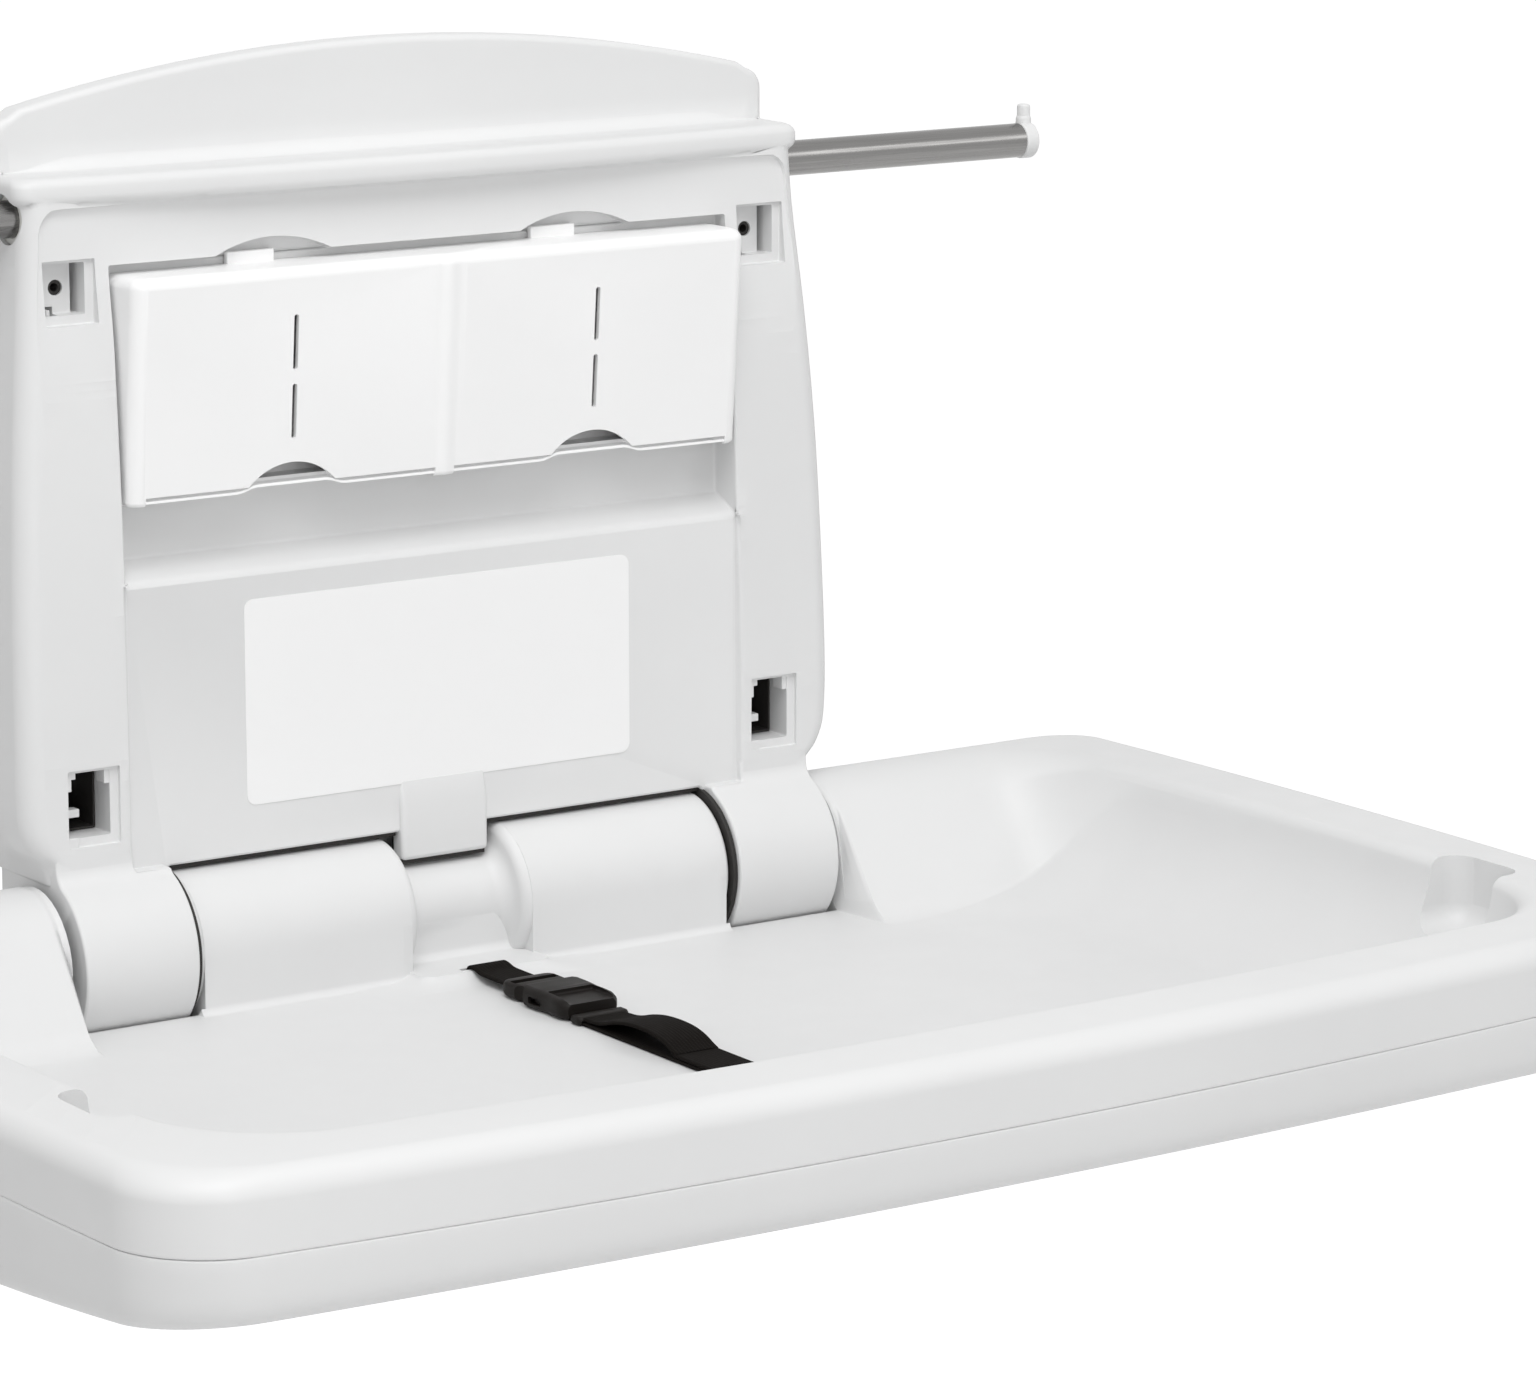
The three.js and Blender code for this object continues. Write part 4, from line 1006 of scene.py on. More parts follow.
def full_copy(piece: bpy.types.Object) -> bpy.types.Object:
    """A second solid with the same mesh."""
    copy = bpy.data.objects.new(piece.name, piece.data.copy())
    bpy.context.scene.collection.objects.link(copy)
    return copy


# The wall unit


@dataclass
class WallUnit:
    """The moulded frame on the wall: two pillars, a panel, a ledge, an arch and two hinge knuckles."""

    back: float = 2.8
    wall: float = 3.5
    panel: float = 58.0
    panel_foot: float = 40.5
    pillar: tuple[tuple[float, float, float], ...] = (
        (38, 62.4, 219), (48, 62.6, 221.5), (57, 62.6, 229), (72, 62.6, 233.5), (110, 62.6, 234),
        (185, 60, 232), (235, 58, 229.5), (286, 55.2, 225.5), (335, 51.4, 221), (370, 50, 219),
    )
    pillar_edge: float = 11.0
    bay: float = 176.0
    recess: float = 40.0
    shelf: Span = (181.0, 190.0)
    shelf_round: float = 7.0
    header_foot: float = 334.0
    ledge: Span = (364.0, 377.0)
    ledge_deep: float = 60.0
    ledge_half: float = 223.0
    ledge_bow: float = 10.0
    ledge_corner: float = 9.0
    border: float = 9.0
    border_turn: float = 15.0
    border_proud: float = 2.4
    arch_top: float = 430.5
    arch_end: float = 403.5
    arch_half: float = 219.5
    arch_deep: float = 19.0
    arch_corner: float = 10.5
    arch_round: float = 3.5
    arch_cove: float = 9.0
    knuckle: Span = (157.0, 218.0)
    knuckle_radius: float = 43.5
    knuckle_fillet: float = 10.0
    pin_radius: float = 6.0
    tongue_half: float = 25.0
    tongue_foot: float = 26.0
    latch_x: float = 86.0
    latch_half: float = 32.0
    latch_rise: float = 7.5
    pocket: Span = (183.0, 211.0)
    pocket_rows: tuple[tuple[float, float, float], ...] = ((307, 338, 38), (57, 95, 6))
    rebate: float = 2.2
    shade_liner_wall: float = 1.2
    screw_hole: float = 3.8
    rod_deep: float = 32.0
    rod_height: float = 357.3
    rod_bore: float = 12.3

    def sections(self) -> list[tuple[float, float, float]]:
        """The pillars' heights, depths and half widths, smoothed between the measured ones."""
        rows = self.pillar
        fine = []
        for j in range(len(rows) - 1):
            p0, p1, p2, p3 = rows[max(0, j - 1)], rows[j], rows[j + 1], rows[min(len(rows) - 1, j + 2)]
            for k in range(4):
                t = k / 4
                fine.append(
                    tuple(
                        0.5 * (2 * b + (c - a) * t + (2 * a - 5 * b + 4 * c - d) * t * t + (3 * b - a - 3 * c + d) * t**3)
                        for a, b, c, d in zip(p0, p1, p2, p3)
                    )
                )
        return fine + [rows[-1]]

    def front_at(self, height: float) -> float:
        """Depth of the pillars' face at one height."""
        rows = self.sections()
        for (h0, d0, _), (h1, d1, _) in zip(rows, rows[1:]):
            if h0 <= height <= h1:
                return lerp(d0, d1, (height - h0) / (h1 - h0))
        return rows[-1][1]

    def plan(
        self,
        half: float,
        deep: float,
        edge: float,
        h: float,
        bow: float = 0.0,
        rear: float | None = None,
    ) -> Ring:
        """A level section with rounded front corners.

        Args:
            half: Half its width.
            deep: Its depth in the middle.
            edge: Radius of its front corners.
            h: Its height.
            bow: How much shallower the ends are than the middle.
            rear: Depth of its rear side, or none for the frame's own.

        Returns:
            The section as a ring, in metres.
        """
        right = [(half, self.back if rear is None else rear)]
        right += arc((half - edge, deep - bow - edge), edge, 0, 90, 8)
        flat = half - edge
        right += [(flat * (1 - k / 12), deep - bow * (1 - k / 12) ** 2) for k in range(1, 12)]
        left = [(-x, d) for x, d in reversed(right)]
        return [wall_point(x, d, h) for x, d in [*right, (0, deep), *left]]

    def shell(self) -> bpy.types.Object:
        """The pillars and the ledge as one solid."""
        body = skin("wall_frame_skin", [self.plan(w, d, self.pillar_edge, h) for h, d, w in self.sections()])
        foot, top = self.ledge
        nose = [(foot - 9, 12.0), (foot - 5, 9.0), (foot - 2.2, 5.6), (foot - 0.6, 3.0), (foot + 0.6, 1.5), (foot + 2.4, 0.4)]
        nose += [(foot + 4.5, 0.0), (top - 4.5, 0.0), (top - 2.6, 0.5), (top - 1.1, 1.5), (top - 0.3, 2.9), (top, 4.6)]
        rings = []
        for h, i in nose:
            half, deep, edge = self.ledge_half - i, self.ledge_deep - i, self.ledge_corner + 0.7 * i
            rings.append(self.plan(half, deep, edge, h, self.ledge_bow, self.back + 0.3))
        return combine(body, [skin("ledge", rings)], Cut.JOIN)

    def half_at(self, height: float) -> float:
        """Half width over the pillars at one height."""
        rows = self.sections()
        for (h0, _, w0), (h1, _, w1) in zip(rows, rows[1:]):
            if h0 <= height <= h1:
                return lerp(w0, w1, (height - h0) / (h1 - h0))
        return rows[-1][2]

    def set_back(self, height: float) -> float:
        """How far the face lies behind the pillars' outer border at one height."""
        return self.border_proud * ease((height - 270) / 70)

    def border_cut(self) -> bpy.types.Object:
        """The shallow hollow between the outer borders, with round corners under the ledge."""
        rings, top, r, cove = [], self.ledge[0] + 0.6, self.border_turn, 7.0
        heights = [268 + 4 * k for k in range(20)] + [top - r * math.cos(math.pi / 2 * k / 10) for k in range(11)]
        for h in heights:
            up = max(0.0, h - top + r)
            half = self.half_at(h) - self.border - r + math.sqrt(max(0.0, r * r - up * up))
            face = self.front_at(h)
            bend = max(0.0, h - top + cove)
            floor = face - self.set_back(h) + (0.4 if h <= 270 else 0.0)
            floor += cove - math.sqrt(max(0.0, cove * cove - bend * bend))
            right = [(half + 4, 80), (half + 3, max(face, floor) + 0.6), (half + 1.2, floor + 0.5), (half - 1.2, floor + 0.1), (half - 4, floor)]
            rings.append([wall_point(x, d, h) for x, d in [*right, *((-x, d) for x, d in reversed(right))]])
        return skin("border", rings)

    def arch_outline(self, inward: float, deep: float) -> Ring:
        """The upright outline of the arch, drawn in by a distance, at one depth."""
        rise = self.arch_top - self.arch_end
        radius = (self.arch_half**2 + rise**2) / (2 * rise)
        half, corner = self.arch_half - inward, max(2.0, self.arch_corner - inward / 2)
        right = [(half, self.ledge[1] - 8 + inward)]
        right += arc((half - corner, self.arch_end - inward - corner), corner, 0, 78, 8)
        for k in range(20):
            x = (half - corner - 4) * (1 - k / 20)
            right.append((x, self.arch_top - inward - radius + math.sqrt(radius**2 - x * x)))
        left = [(-x, h) for x, h in reversed(right)]
        return [wall_point(x, deep, h) for x, h in [*right, (0, self.arch_top - inward), *left]]

    def arch(self) -> bpy.types.Object:
        """The arch behind the ledge, with a rolled front edge."""
        r, rings = self.arch_round, [self.arch_outline(0, self.back + 0.6)]
        for k in range(7):
            a = math.pi / 2 * k / 6
            rings.append(self.arch_outline(r * (1 - math.cos(a)), self.arch_deep - r + r * math.sin(a)))
        rings.append(self.arch_outline(r + 4, self.arch_deep))
        return skin("arch", rings)

    def cove(self) -> bpy.types.Object:
        """The hollow fillet between the arch and the ledge, running out at both ends."""
        deep, top, rings = self.arch_deep - 0.3, self.ledge[1] - 0.3, []
        for k in range(-20, 21):
            x = (self.arch_half - 4) * k / 20
            r = lerp(1.2, self.arch_cove, ease((self.arch_half - 4 - abs(x)) / 40))
            line = [(deep - 3, top - 3), (deep - 3, top + r), *arc((deep + r, top + r), r, 180, 270, 8), (deep + r, top - 3)]
            rings.append([wall_point(x, d, h) for d, h in line])
        return skin("cove", rings)

    def knuckle_solid(self, side: Side) -> bpy.types.Object:
        """One hinge knuckle with its web to the wall and a hollow fillet up to the pillar."""
        r, f, axis, face = self.knuckle_radius, self.knuckle_fillet, -HINGE_Y, 62.5
        rise = math.sqrt((r + f) ** 2 - (face + f - axis) ** 2)
        meet = math.degrees(math.atan2(rise, face + f - axis))
        low = -r + 8
        start = 180 + math.degrees(math.asin(-low / r))
        outline = [(self.back + 0.9, low), *arc((axis, 0), r, start, 360 + meet, 60)]
        outline += arc((face + f, rise), f, 180 + meet, 180, 8)
        outline += [(face - 0.5, rise + 4), (face - 8, rise + 14), (self.back + 0.9, rise + 14)]
        a, b = side.span(*self.knuckle)
        solid = prism("knuckle", [wall_point(a, d, h) for d, h in outline], Vector((b - a, 0, 0)) * MM)
        inner = side.span(self.knuckle[0] - 5, self.bay + 0.4)
        combine(solid, [wall_block("trim", inner, (90, self.panel - 0.8), (self.panel_foot + 1.3, 95))], Cut.TAKE)
        return soften(solid, 1.4, 50, 4)

    def bays(self) -> list[bpy.types.Object]:
        """The rooms in front of the panel and behind the liner dispenser, and the latch gaps."""
        wide = [(-self.bay - 6, 80), (self.bay + 6, 80), (self.bay, self.panel), (-self.bay, self.panel)]
        low = [wall_point(x, d, self.panel_foot - 10) for x, d in wide]
        lower = prism("lower_bay", low, Vector((0, 0, self.shelf[0] - self.panel_foot + 10)) * MM)
        low, high = self.shelf
        slope, r = (high - low) / (self.panel - self.recess), self.shelf_round
        turn = math.pi / 2 - math.atan(slope)
        deep = self.panel + 0.3 - r
        level = low + slope * (self.panel - deep - r * math.cos(turn)) - r * math.sin(turn)
        steps = [(80, level), *arc((deep, level), r, 0, math.degrees(turn), 8), (self.recess, high)]
        steps += [(self.recess, self.header_foot), (80, self.header_foot)]
        upper = prism(
            "upper_bay", [wall_point(-self.bay, d, h) for d, h in steps], Vector((2 * self.bay, 0, 0)) * MM
        )
        radius = (self.latch_half**2 + self.latch_rise**2) / (2 * self.latch_rise)
        gaps = []
        for side in Side:
            h = self.header_foot + self.latch_rise - radius
            x = side.value * self.latch_x
            gap = rod("latch_gap", radius, wall_point(x, 80, h), wall_point(x, self.recess - 0.5, h), 160)
            head = wall_block("head", (x - 50, x + 50), (90, 20), (self.header_foot - 1, self.header_foot + 40))
            gaps.append(combine(gap, [head], Cut.KEEP))
        foot = wall_block("foot", (2 - self.knuckle[0], self.knuckle[0] - 2), (80, -10), (0, self.panel_foot))
        return [lower, upper, *gaps, foot]

    def tongue(self) -> bpy.types.Object:
        """The block under the panel that the bed's barrel stops against."""
        side = [(self.panel - 4, 70), (self.panel + 0.5, 66), (61, 54), (61, self.tongue_foot), (50, self.tongue_foot)]
        side += [(50, 70)]
        line = [wall_point(-self.tongue_half, d, h) for d, h in side]
        return soften(prism("tongue", line, Vector((2 * self.tongue_half, 0, 0)) * MM), 2.6, 50, 4)

    def chambers(self) -> list[bpy.types.Object]:
        """The rooms behind the mouldings, open towards the wall."""
        rows = self.sections()
        rings = []
        for j, (h, d, w) in enumerate(rows):
            at = h + 6 if j == 0 else self.ledge[1] - 5 if j == len(rows) - 1 else max(h, rows[0][0] + 6.5)
            rings.append(self.plan(w - self.wall, d - self.wall, self.pillar_edge - self.wall, at, 0, -1))
        hollow = skin("hollow", [r for k, r in enumerate(rings) if k in (0, len(rings) - 1) or k > 4])
        middle = wall_block("middle", (-self.bay - 6, self.bay + 6), (90, -20), (0, self.header_foot + self.latch_rise + 5))
        combine(hollow, [middle], Cut.TAKE)
        for row in self.pocket_rows:
            combine(hollow, [self.pocket_block(side, row, 3) for side in Side], Cut.TAKE)
        rooms = [hollow]
        for x in ((4 - self.bay, -62), (-58, 58), (62, self.bay - 4)):
            rooms.append(wall_block("room", x, (self.panel - 3.5, -5), (self.panel_foot + 4, self.shelf[0] - 5)))
        for x in ((4 - self.bay, -2), (2, self.bay - 4)):
            rooms.append(wall_block("room", x, (self.recess - 3.5, -5), (self.shelf[1] + 4, self.header_foot - 2)))
        inner = [self.arch_outline(5, self.arch_deep - 4), self.arch_outline(5, -1)]
        rooms.append(skin("arch_room", inner))
        for side in Side:
            x = side.span(self.knuckle[0] + 5, self.knuckle[1] - 5)
            core = rod("core", self.knuckle_radius - 5, bed_point(x[0], 0, 0), bed_point(x[1], 0, 0))
            inside = (x[0] + 0.4, x[1] - 0.4)
            combine(core, [wall_block("core_back", inside, (-HINGE_Y, -1), (-30, 30))], Cut.JOIN)
            boss = rod("boss", self.pin_radius + 6, bed_point(x[0] - 1, 0, 0), bed_point(x[1] + 1, 0, 0))
            rooms.append(combine(core, [boss], Cut.TAKE))
        return rooms

    def pocket_block(self, side: Side, row: tuple[float, float, float], grow: float) -> bpy.types.Object:
        """A block round a screw pocket, following the pillar's face.

        Args:
            side: The hand it is on.
            row: The pocket's foot, top and depth.
            grow: How far it stands out round the pocket.

        Returns:
            The new solid.
        """
        foot, top, deep = row[0] - grow, row[1] + grow, max(2.0, row[2] - 20)
        line = [(deep, foot), (self.front_at(foot), foot), (self.front_at(top), top), (deep, top)]
        a, b = side.span(self.pocket[0] - grow, self.pocket[1] + grow)
        return prism("pocket", [wall_point(a, d, h) for d, h in line], Vector((b - a, 0, 0)) * MM)

    def pocket_room(self, side: Side, row: tuple[float, float, float]) -> tuple[Span, Span, float]:
        """The pocket inside its rebate.

        Args:
            side: The hand it is on.
            row: The pocket's foot, top and depth.

        Returns:
            Its range across, its range of heights and the depth of the face round it.
        """
        left, right = side.span(*self.pocket)
        foot, top, _ = row
        face = min(self.front_at(h) - self.set_back(h) for h in (foot, top))
        return (left + 1.2, right - 4.5), (foot + 4.5, top - 1.6), face

    def add_pockets(self, solid: bpy.types.Object) -> None:
        """Cuts the screw pockets with their rebates and screw holes into the frame."""
        for side in Side:
            for row in self.pocket_rows:
                foot, top, deep = row
                x, rows, face = self.pocket_room(side, row)
                mouth = wall_block("mouth", side.span(*self.pocket), (90, face - self.rebate), (foot, top), 0.7)
                well = wall_block("well", x, (89, deep), rows, 0.9)
                mid, h = sum(x) / 2, sum(rows) / 2
                bore = rod("bore", self.screw_hole, wall_point(mid, deep + 12, h), wall_point(mid, -5, h), 40)
                if deep > 12:
                    boss = rod("boss", self.screw_hole + 4, wall_point(mid, deep - 1, h), wall_point(mid, self.back + 0.2, h), 40)
                    combine(solid, [boss], Cut.JOIN)
                combine(solid, [mouth, well, bore], Cut.TAKE)
            self.add_upper_steps(solid, side)
            self.add_lower_steps(solid, side)

    def add_upper_steps(self, solid: bpy.types.Object, side: Side) -> None:
        """Adds the small latch hole and its pin at the foot of an upper pocket."""
        (left, right), (foot, top), _ = self.pocket_room(side, self.pocket_rows[0])
        deep = self.pocket_rows[0][2]
        combine(solid, [wall_block("groove", (right - 3.4, right - 0.02), (deep + 3, deep - 15), (foot + 0.1, top - 0.1))], Cut.TAKE)
        hole = wall_block("hole", (left + 2.6, left + 9.4), (deep + 6, deep - 9), (foot - 1.4, foot + 3.6))
        combine(solid, [hole], Cut.TAKE)
        pin = wall_block("pin", (left + 5.0, left + 7.0), (deep + 2.2, deep - 2), (foot - 2.4, foot + 2.2), 0.4)
        combine(solid, [pin], Cut.JOIN)

    def add_lower_steps(self, solid: bpy.types.Object, side: Side) -> None:
        """Adds the stepped top corners, the ledge and the stop of a lower pocket."""
        (left, right), (foot, top), face = self.pocket_room(side, self.pocket_rows[1])
        front = face - self.rebate
        steps = [
            ((left - 2, left + 2.2), (front - 0.4, front - 9), (top - 9, top + 2)),
            ((left - 2, left + 4.6), (front - 0.6, front - 8), (top - 3.2, top + 2)),
            ((right - 2.6, right + 2), (front - 0.4, front - 9), (top - 7, top + 2)),
            ((left - 2, left + 9.5), (front - 7, front - 13), (foot + 8.5, foot + 12.5)),
            ((left - 2, left + 4.4), (front + 1.4, front - 5), (foot - 6, foot + 0.5)),
        ]
        combine(solid, [wall_block("step", *step, 0.5) for step in steps], Cut.JOIN)

    def pocket_shade_liner(self, side: Side) -> bpy.types.Object:
        """A dark lining in a lower pocket, with the hole for its screw: painted shade, a dark piece that darkens the
        pocket's inside.
        """
        x, rows, face = self.pocket_room(side, self.pocket_rows[1])
        deep, t = self.pocket_rows[1][2] + GAP, self.shade_liner_wall
        x, rows = (x[0] + GAP, x[1] - GAP), (rows[0] + GAP, rows[1] - GAP)
        liner = wall_block(side.node("pocket_shade_liner"), x, (face - 17, deep), rows, 0.6)
        inner = wall_block("inner", (x[0] + t, x[1] - t), (face, deep + t), (rows[0] + t, rows[1] - t), 0.4)
        mid, h = sum(x) / 2, sum(rows) / 2
        bore = rod("bore", self.screw_hole, wall_point(mid, deep + 9, h), wall_point(mid, deep - 5, h), 40)
        return shade(combine(liner, [inner, bore], Cut.TAKE), 34)

    def gap_shade_disc(self, side: Side) -> bpy.types.Object:
        """A dark disc between one knuckle and the bed's barrel: painted shade, a dark piece that makes the gap there
        look black.
        """
        a, b = (bed_point(side.value * x, 0, 0) for x in (self.knuckle[0] - 0.2, self.knuckle[0] - 2.7))
        ends = Vector((0.01, 0, 0))
        disc = rod(side.node("hinge_shade_disc"), 40.5, a, b, 96, 0.4)
        return shade(combine(disc, [rod("bore", 10.2, a - ends, a + ends, 48)], Cut.TAKE))

    def screw_shade_plug(self, side: Side) -> bpy.types.Object:
        """A dark plug in one upper pocket's screw hole: painted shade, a dark piece that darkens the hole."""
        x, rows, _ = self.pocket_room(side, self.pocket_rows[0])
        mid, h, deep = sum(x) / 2, sum(rows) / 2, self.pocket_rows[0][2]
        tube = rod(side.node("screw_hole_shade_plug"), self.screw_hole - 0.1, wall_point(mid, deep - 1.2, h), wall_point(mid, deep - 24, h), 40)
        return shade(combine(tube, [rod("bore", 2.1, wall_point(mid, deep, h), wall_point(mid, 2, h), 32)], Cut.TAKE))

    def gap_shade_strip(self) -> bpy.types.Object:
        """The dark strip that closes the gap over the bed's barrel, stepped under the tongue: painted shade, a dark
        piece that makes that gap look black.
        """
        gap, foot, half = 1.0, self.panel_foot, self.knuckle[0] - 1.5
        strip = wall_block("hinge_shade_strip", (-half, half), (self.panel - 2.4, self.panel - 12), (foot - 2.2, foot + 0.8), 0.3)
        step = wall_block("step", (1 - self.tongue_half, self.tongue_half - 1), (58.4, 49), (self.tongue_foot - 2.0, foot - 1))
        edge = self.tongue_half + gap
        combine(strip, [wall_block("gap", (-edge, edge), (70, 30), (foot - 5, foot + 5))], Cut.TAKE)
        return shade(combine(strip, [step], Cut.JOIN), 34)

    def build(self) -> bpy.types.Object:
        """Builds the frame.

        Returns:
            The finished frame.
        """
        solid = self.shell()
        combine(solid, [self.arch(), self.cove()], Cut.JOIN)
        combine(solid, self.bays(), Cut.TAKE)
        soften(solid, 1.3, 42, 3)
        combine(solid, [self.border_cut()], Cut.TAKE)
        combine(solid, [self.knuckle_solid(side) for side in Side], Cut.JOIN)
        web = wall_block("web", (2 - self.knuckle[0] - 5, self.knuckle[0] + 3), (self.back + 3.2, self.back + 0.5), (-30, self.panel_foot + 5.5))
        combine(solid, [self.tongue(), web], Cut.JOIN)
        combine(solid, self.chambers(), Cut.TAKE)
        self.add_pockets(solid)
        rods = [
            rod("rod_bore", self.rod_bore, wall_point(-260, self.rod_deep, self.rod_height),
                wall_point(260, self.rod_deep, self.rod_height), 64),
            rod("pin_bore", self.pin_radius + GAP, bed_point(-240, 0, 0), bed_point(240, 0, 0), 40),
        ]
        combine(solid, rods, Cut.TAKE)
        return shade(solid, 34)


# The liner dispenser


@dataclass
class Dispenser:
    """The leaning white cover of the two liner bins, and the thin lips of the bins below it."""

    half: float = 174.0
    foot: float = 223.0
    top: float = 329.0
    foot_deep: float = 63.7
    slope: float = 0.083
    thick: float = 2.5
    back: float = 40.3
    edge: float = 7.0
    roll: float = 5.5
    divider: float = 5.0
    bead_half: float = 6.5
    bead_proud: float = 1.2
    drop: float = 4.5
    moon_x: float = 86.0
    moon_half: float = 24.0
    moon_rise: float = 10.5
    window: float = 2.6
    windows: tuple[Span, ...] = ((245.0, 272.0), (279.0, 306.0))
    latch_top: float = 334.9
    lip_rise: float = 2.6

    def lean(self, h: float) -> float:
        """Depth of the front at one height."""
        return self.foot_deep + self.slope * (h - self.foot)

    def section(self, h: float, inward: float) -> Ring:
        """A level section of the cover with a soft bead in the middle of its front.

        Args:
            h: Its height.
            inward: How far it is drawn in.

        Returns:
            The section as a ring, in metres.
        """
        half, deep, edge = self.half - inward, self.lean(h) - inward, self.edge - inward * 0.6
        right = [(half, self.back), *arc((half - edge, deep - edge), edge, 0, 90, 9)]
        right.append((self.bead_half + 3, deep))
        for k in range(7):
            x = self.bead_half * (1 - k / 7)
            right.append((x, deep + self.bead_proud * ease(1 - x / self.bead_half)))
        left = [(-x, d) for x, d in reversed(right)]
        return [wall_point(x, d, h) for x, d in [*right, (0, deep + self.bead_proud), *left]]

    def body(self) -> bpy.types.Object:
        """The cover as a full solid with rolled edges."""
        low = self.foot - self.drop
        rings = [self.section(low, 2.2), self.section(low + 0.35, 1.0), self.section(low + 1.1, 0.3)]
        rings += [self.section(low + 2.4, 0), self.section(self.top - self.roll, 0)]
        for k in range(1, 8):
            a = math.pi / 2 * k / 7
            rings.append(
                self.section(self.top - self.roll * (1 - math.sin(a)), self.roll * (1 - math.cos(a)))
            )
        return skin("liner_cover", rings)

    def room(self, side: Side) -> bpy.types.Object:
        """The space for one liner bin behind the front."""
        inner, outer, r = self.divider / 2, self.half - self.thick, self.edge - self.thick
        rings = []
        for h in (self.foot - 12, self.top - self.thick):
            deep = self.lean(h) - self.thick
            line = [(inner, self.back - 5), (outer, self.back - 5)]
            line += [*arc((outer - r, deep - r), r, 0, 90, 6), (inner, deep)]
            rings.append([wall_point(side.value * x, d, h) for x, d in line])
        return skin("room", rings)

    def lip(self, side: Side) -> bpy.types.Object:
        """The thin front lip of one bin, raised a little under the finger notch."""
        rings, near, far = [], self.bead_half - 3.5, self.half - self.edge + 2.0
        for k in range(61):
            x = lerp(near, far, k / 60)
            h = self.foot - 3.0 + self.lip_rise * ease((30 - abs(x - self.moon_x)) / 11)
            deep = self.lean(h) - 0.5
            edge = [(0, 0), (0, 0.9), (-0.35, 1.3), (-1.7, 1.3), (-1.7, 0)]
            rings.append([wall_point(side.value * x, deep + d, h + up) for d, up in edge])
        return shade(skin(side.node("liner_lip"), rings), 50)

    def bin(self, side: Side) -> bpy.types.Object:
        """One open liner bin that fills its space behind the cover."""
        shells = []
        for thin, low, high in ((0.6, 0.8, 9.0), (2.2, 2.4, 4.0)):
            inner, outer, r = self.divider / 2 + thin, self.half - self.thick - thin, self.edge - self.thick - 0.4
            rings = []
            for h in (self.foot + low, self.top - high):
                deep = self.lean(h) - self.thick - thin
                line = [(inner, self.back + thin), (outer, self.back + thin)]
                line += [*arc((outer - r, deep - r), r, 0, 90, 6), (inner, deep)]
                rings.append([wall_point(side.value * x, d, h) for x, d in line])
            shells.append(skin(side.node("liner_bin_skin"), rings))
        bin_piece = combine(shells[0], shells[1:], Cut.TAKE)
        return shade(combine(bin_piece, self.openings(side, 1.2), Cut.TAKE), 34)

    def openings(self, side: Side, grow: float) -> list[bpy.types.Object]:
        """The finger notch and the two slits of one bin, grown by a distance."""
        radius = (self.moon_half**2 + self.moon_rise**2) / (2 * self.moon_rise)
        mid, half = side.value * self.moon_x, self.window / 2 + grow
        h = self.foot + self.moon_rise - radius
        cuts = [rod("moon", radius + grow, wall_point(mid, 91, h), wall_point(mid, 54, h), 160)]
        for low, high in self.windows:
            cuts.append(wall_block("window", (mid - half, mid + half), (90, 55), (low - grow, high + grow), 1.25))
        return cuts

    def build(self) -> bpy.types.Object:
        """Builds the cover.

        Returns:
            The finished cover.
        """
        cover = self.body()
        cuts = []
        for side in Side:
            cuts.append(self.room(side))
            x = side.span(self.bead_half - 1.2, self.half - self.edge - 0.8)
            cuts.append(wall_block("below", x, (90, 50), (self.foot - 15, self.foot)))
            cuts += self.openings(side, 0)
        combine(cover, cuts, Cut.TAKE)
        for side in Side:
            x = (side.value * self.moon_x - 23, side.value * self.moon_x + 3)
            rows = (self.top - 1.6, self.latch_top)
            combine(cover, [wall_block("latch", x, (self.back + 4, self.back + 0.6), rows, 0.7)], Cut.JOIN)
        return shade(cover, 34)


# The bag rod


@dataclass
class BagRod:
    """The satin tube across the top and its capped ends."""

    radius: float = 9.0
    deep: float = 32.0
    height: float = 357.3
    half: float = 373.0
    cap: float = 8.0
    nib: float = 3.5
    nib_rise: float = 10.0

    def at(self, x: float, up: float = 0.0) -> Vector:
        """A point on the rod's axis, or above it."""
        return wall_point(x, self.deep, self.height + up)

    def tube(self) -> bpy.types.Object:
        """The tube itself."""
        tube = rod("bag_rod_skin", self.radius, self.at(-self.half), self.at(self.half), 72)
        bore = rod("bore", self.radius - 1.5, self.at(-self.half - 5), self.at(self.half + 5), 72)
        return shade(combine(tube, [bore], Cut.TAKE))

    def cap_solid(self, side: Side) -> bpy.types.Object:
        """One end cap: a disc, a plug and an upright nib."""
        s, x0 = side.value, self.half + GAP
        disc = rod("cap", self.radius + 0.6, self.at(s * x0), self.at(s * (x0 + self.cap)), 64, 1.4)
        disc.name = disc.data.name = side.node("rod_cap_skin")
        plug = rod("plug", self.radius - 1.8, self.at(s * (x0 - 14)), self.at(s * (x0 + 1)), 48)
        mid = s * (x0 + self.nib + 0.3)
        nib = rod("nib", self.nib, self.at(mid), self.at(mid, self.radius + self.nib_rise), 40, 1.3)
        foot = rod("nib_foot", self.nib + 0.6, self.at(mid, 2), self.at(mid, self.radius + self.nib_rise * 0.45), 40, 2.2)
        return shade(combine(disc, [plug, nib, foot], Cut.JOIN))


# The strap


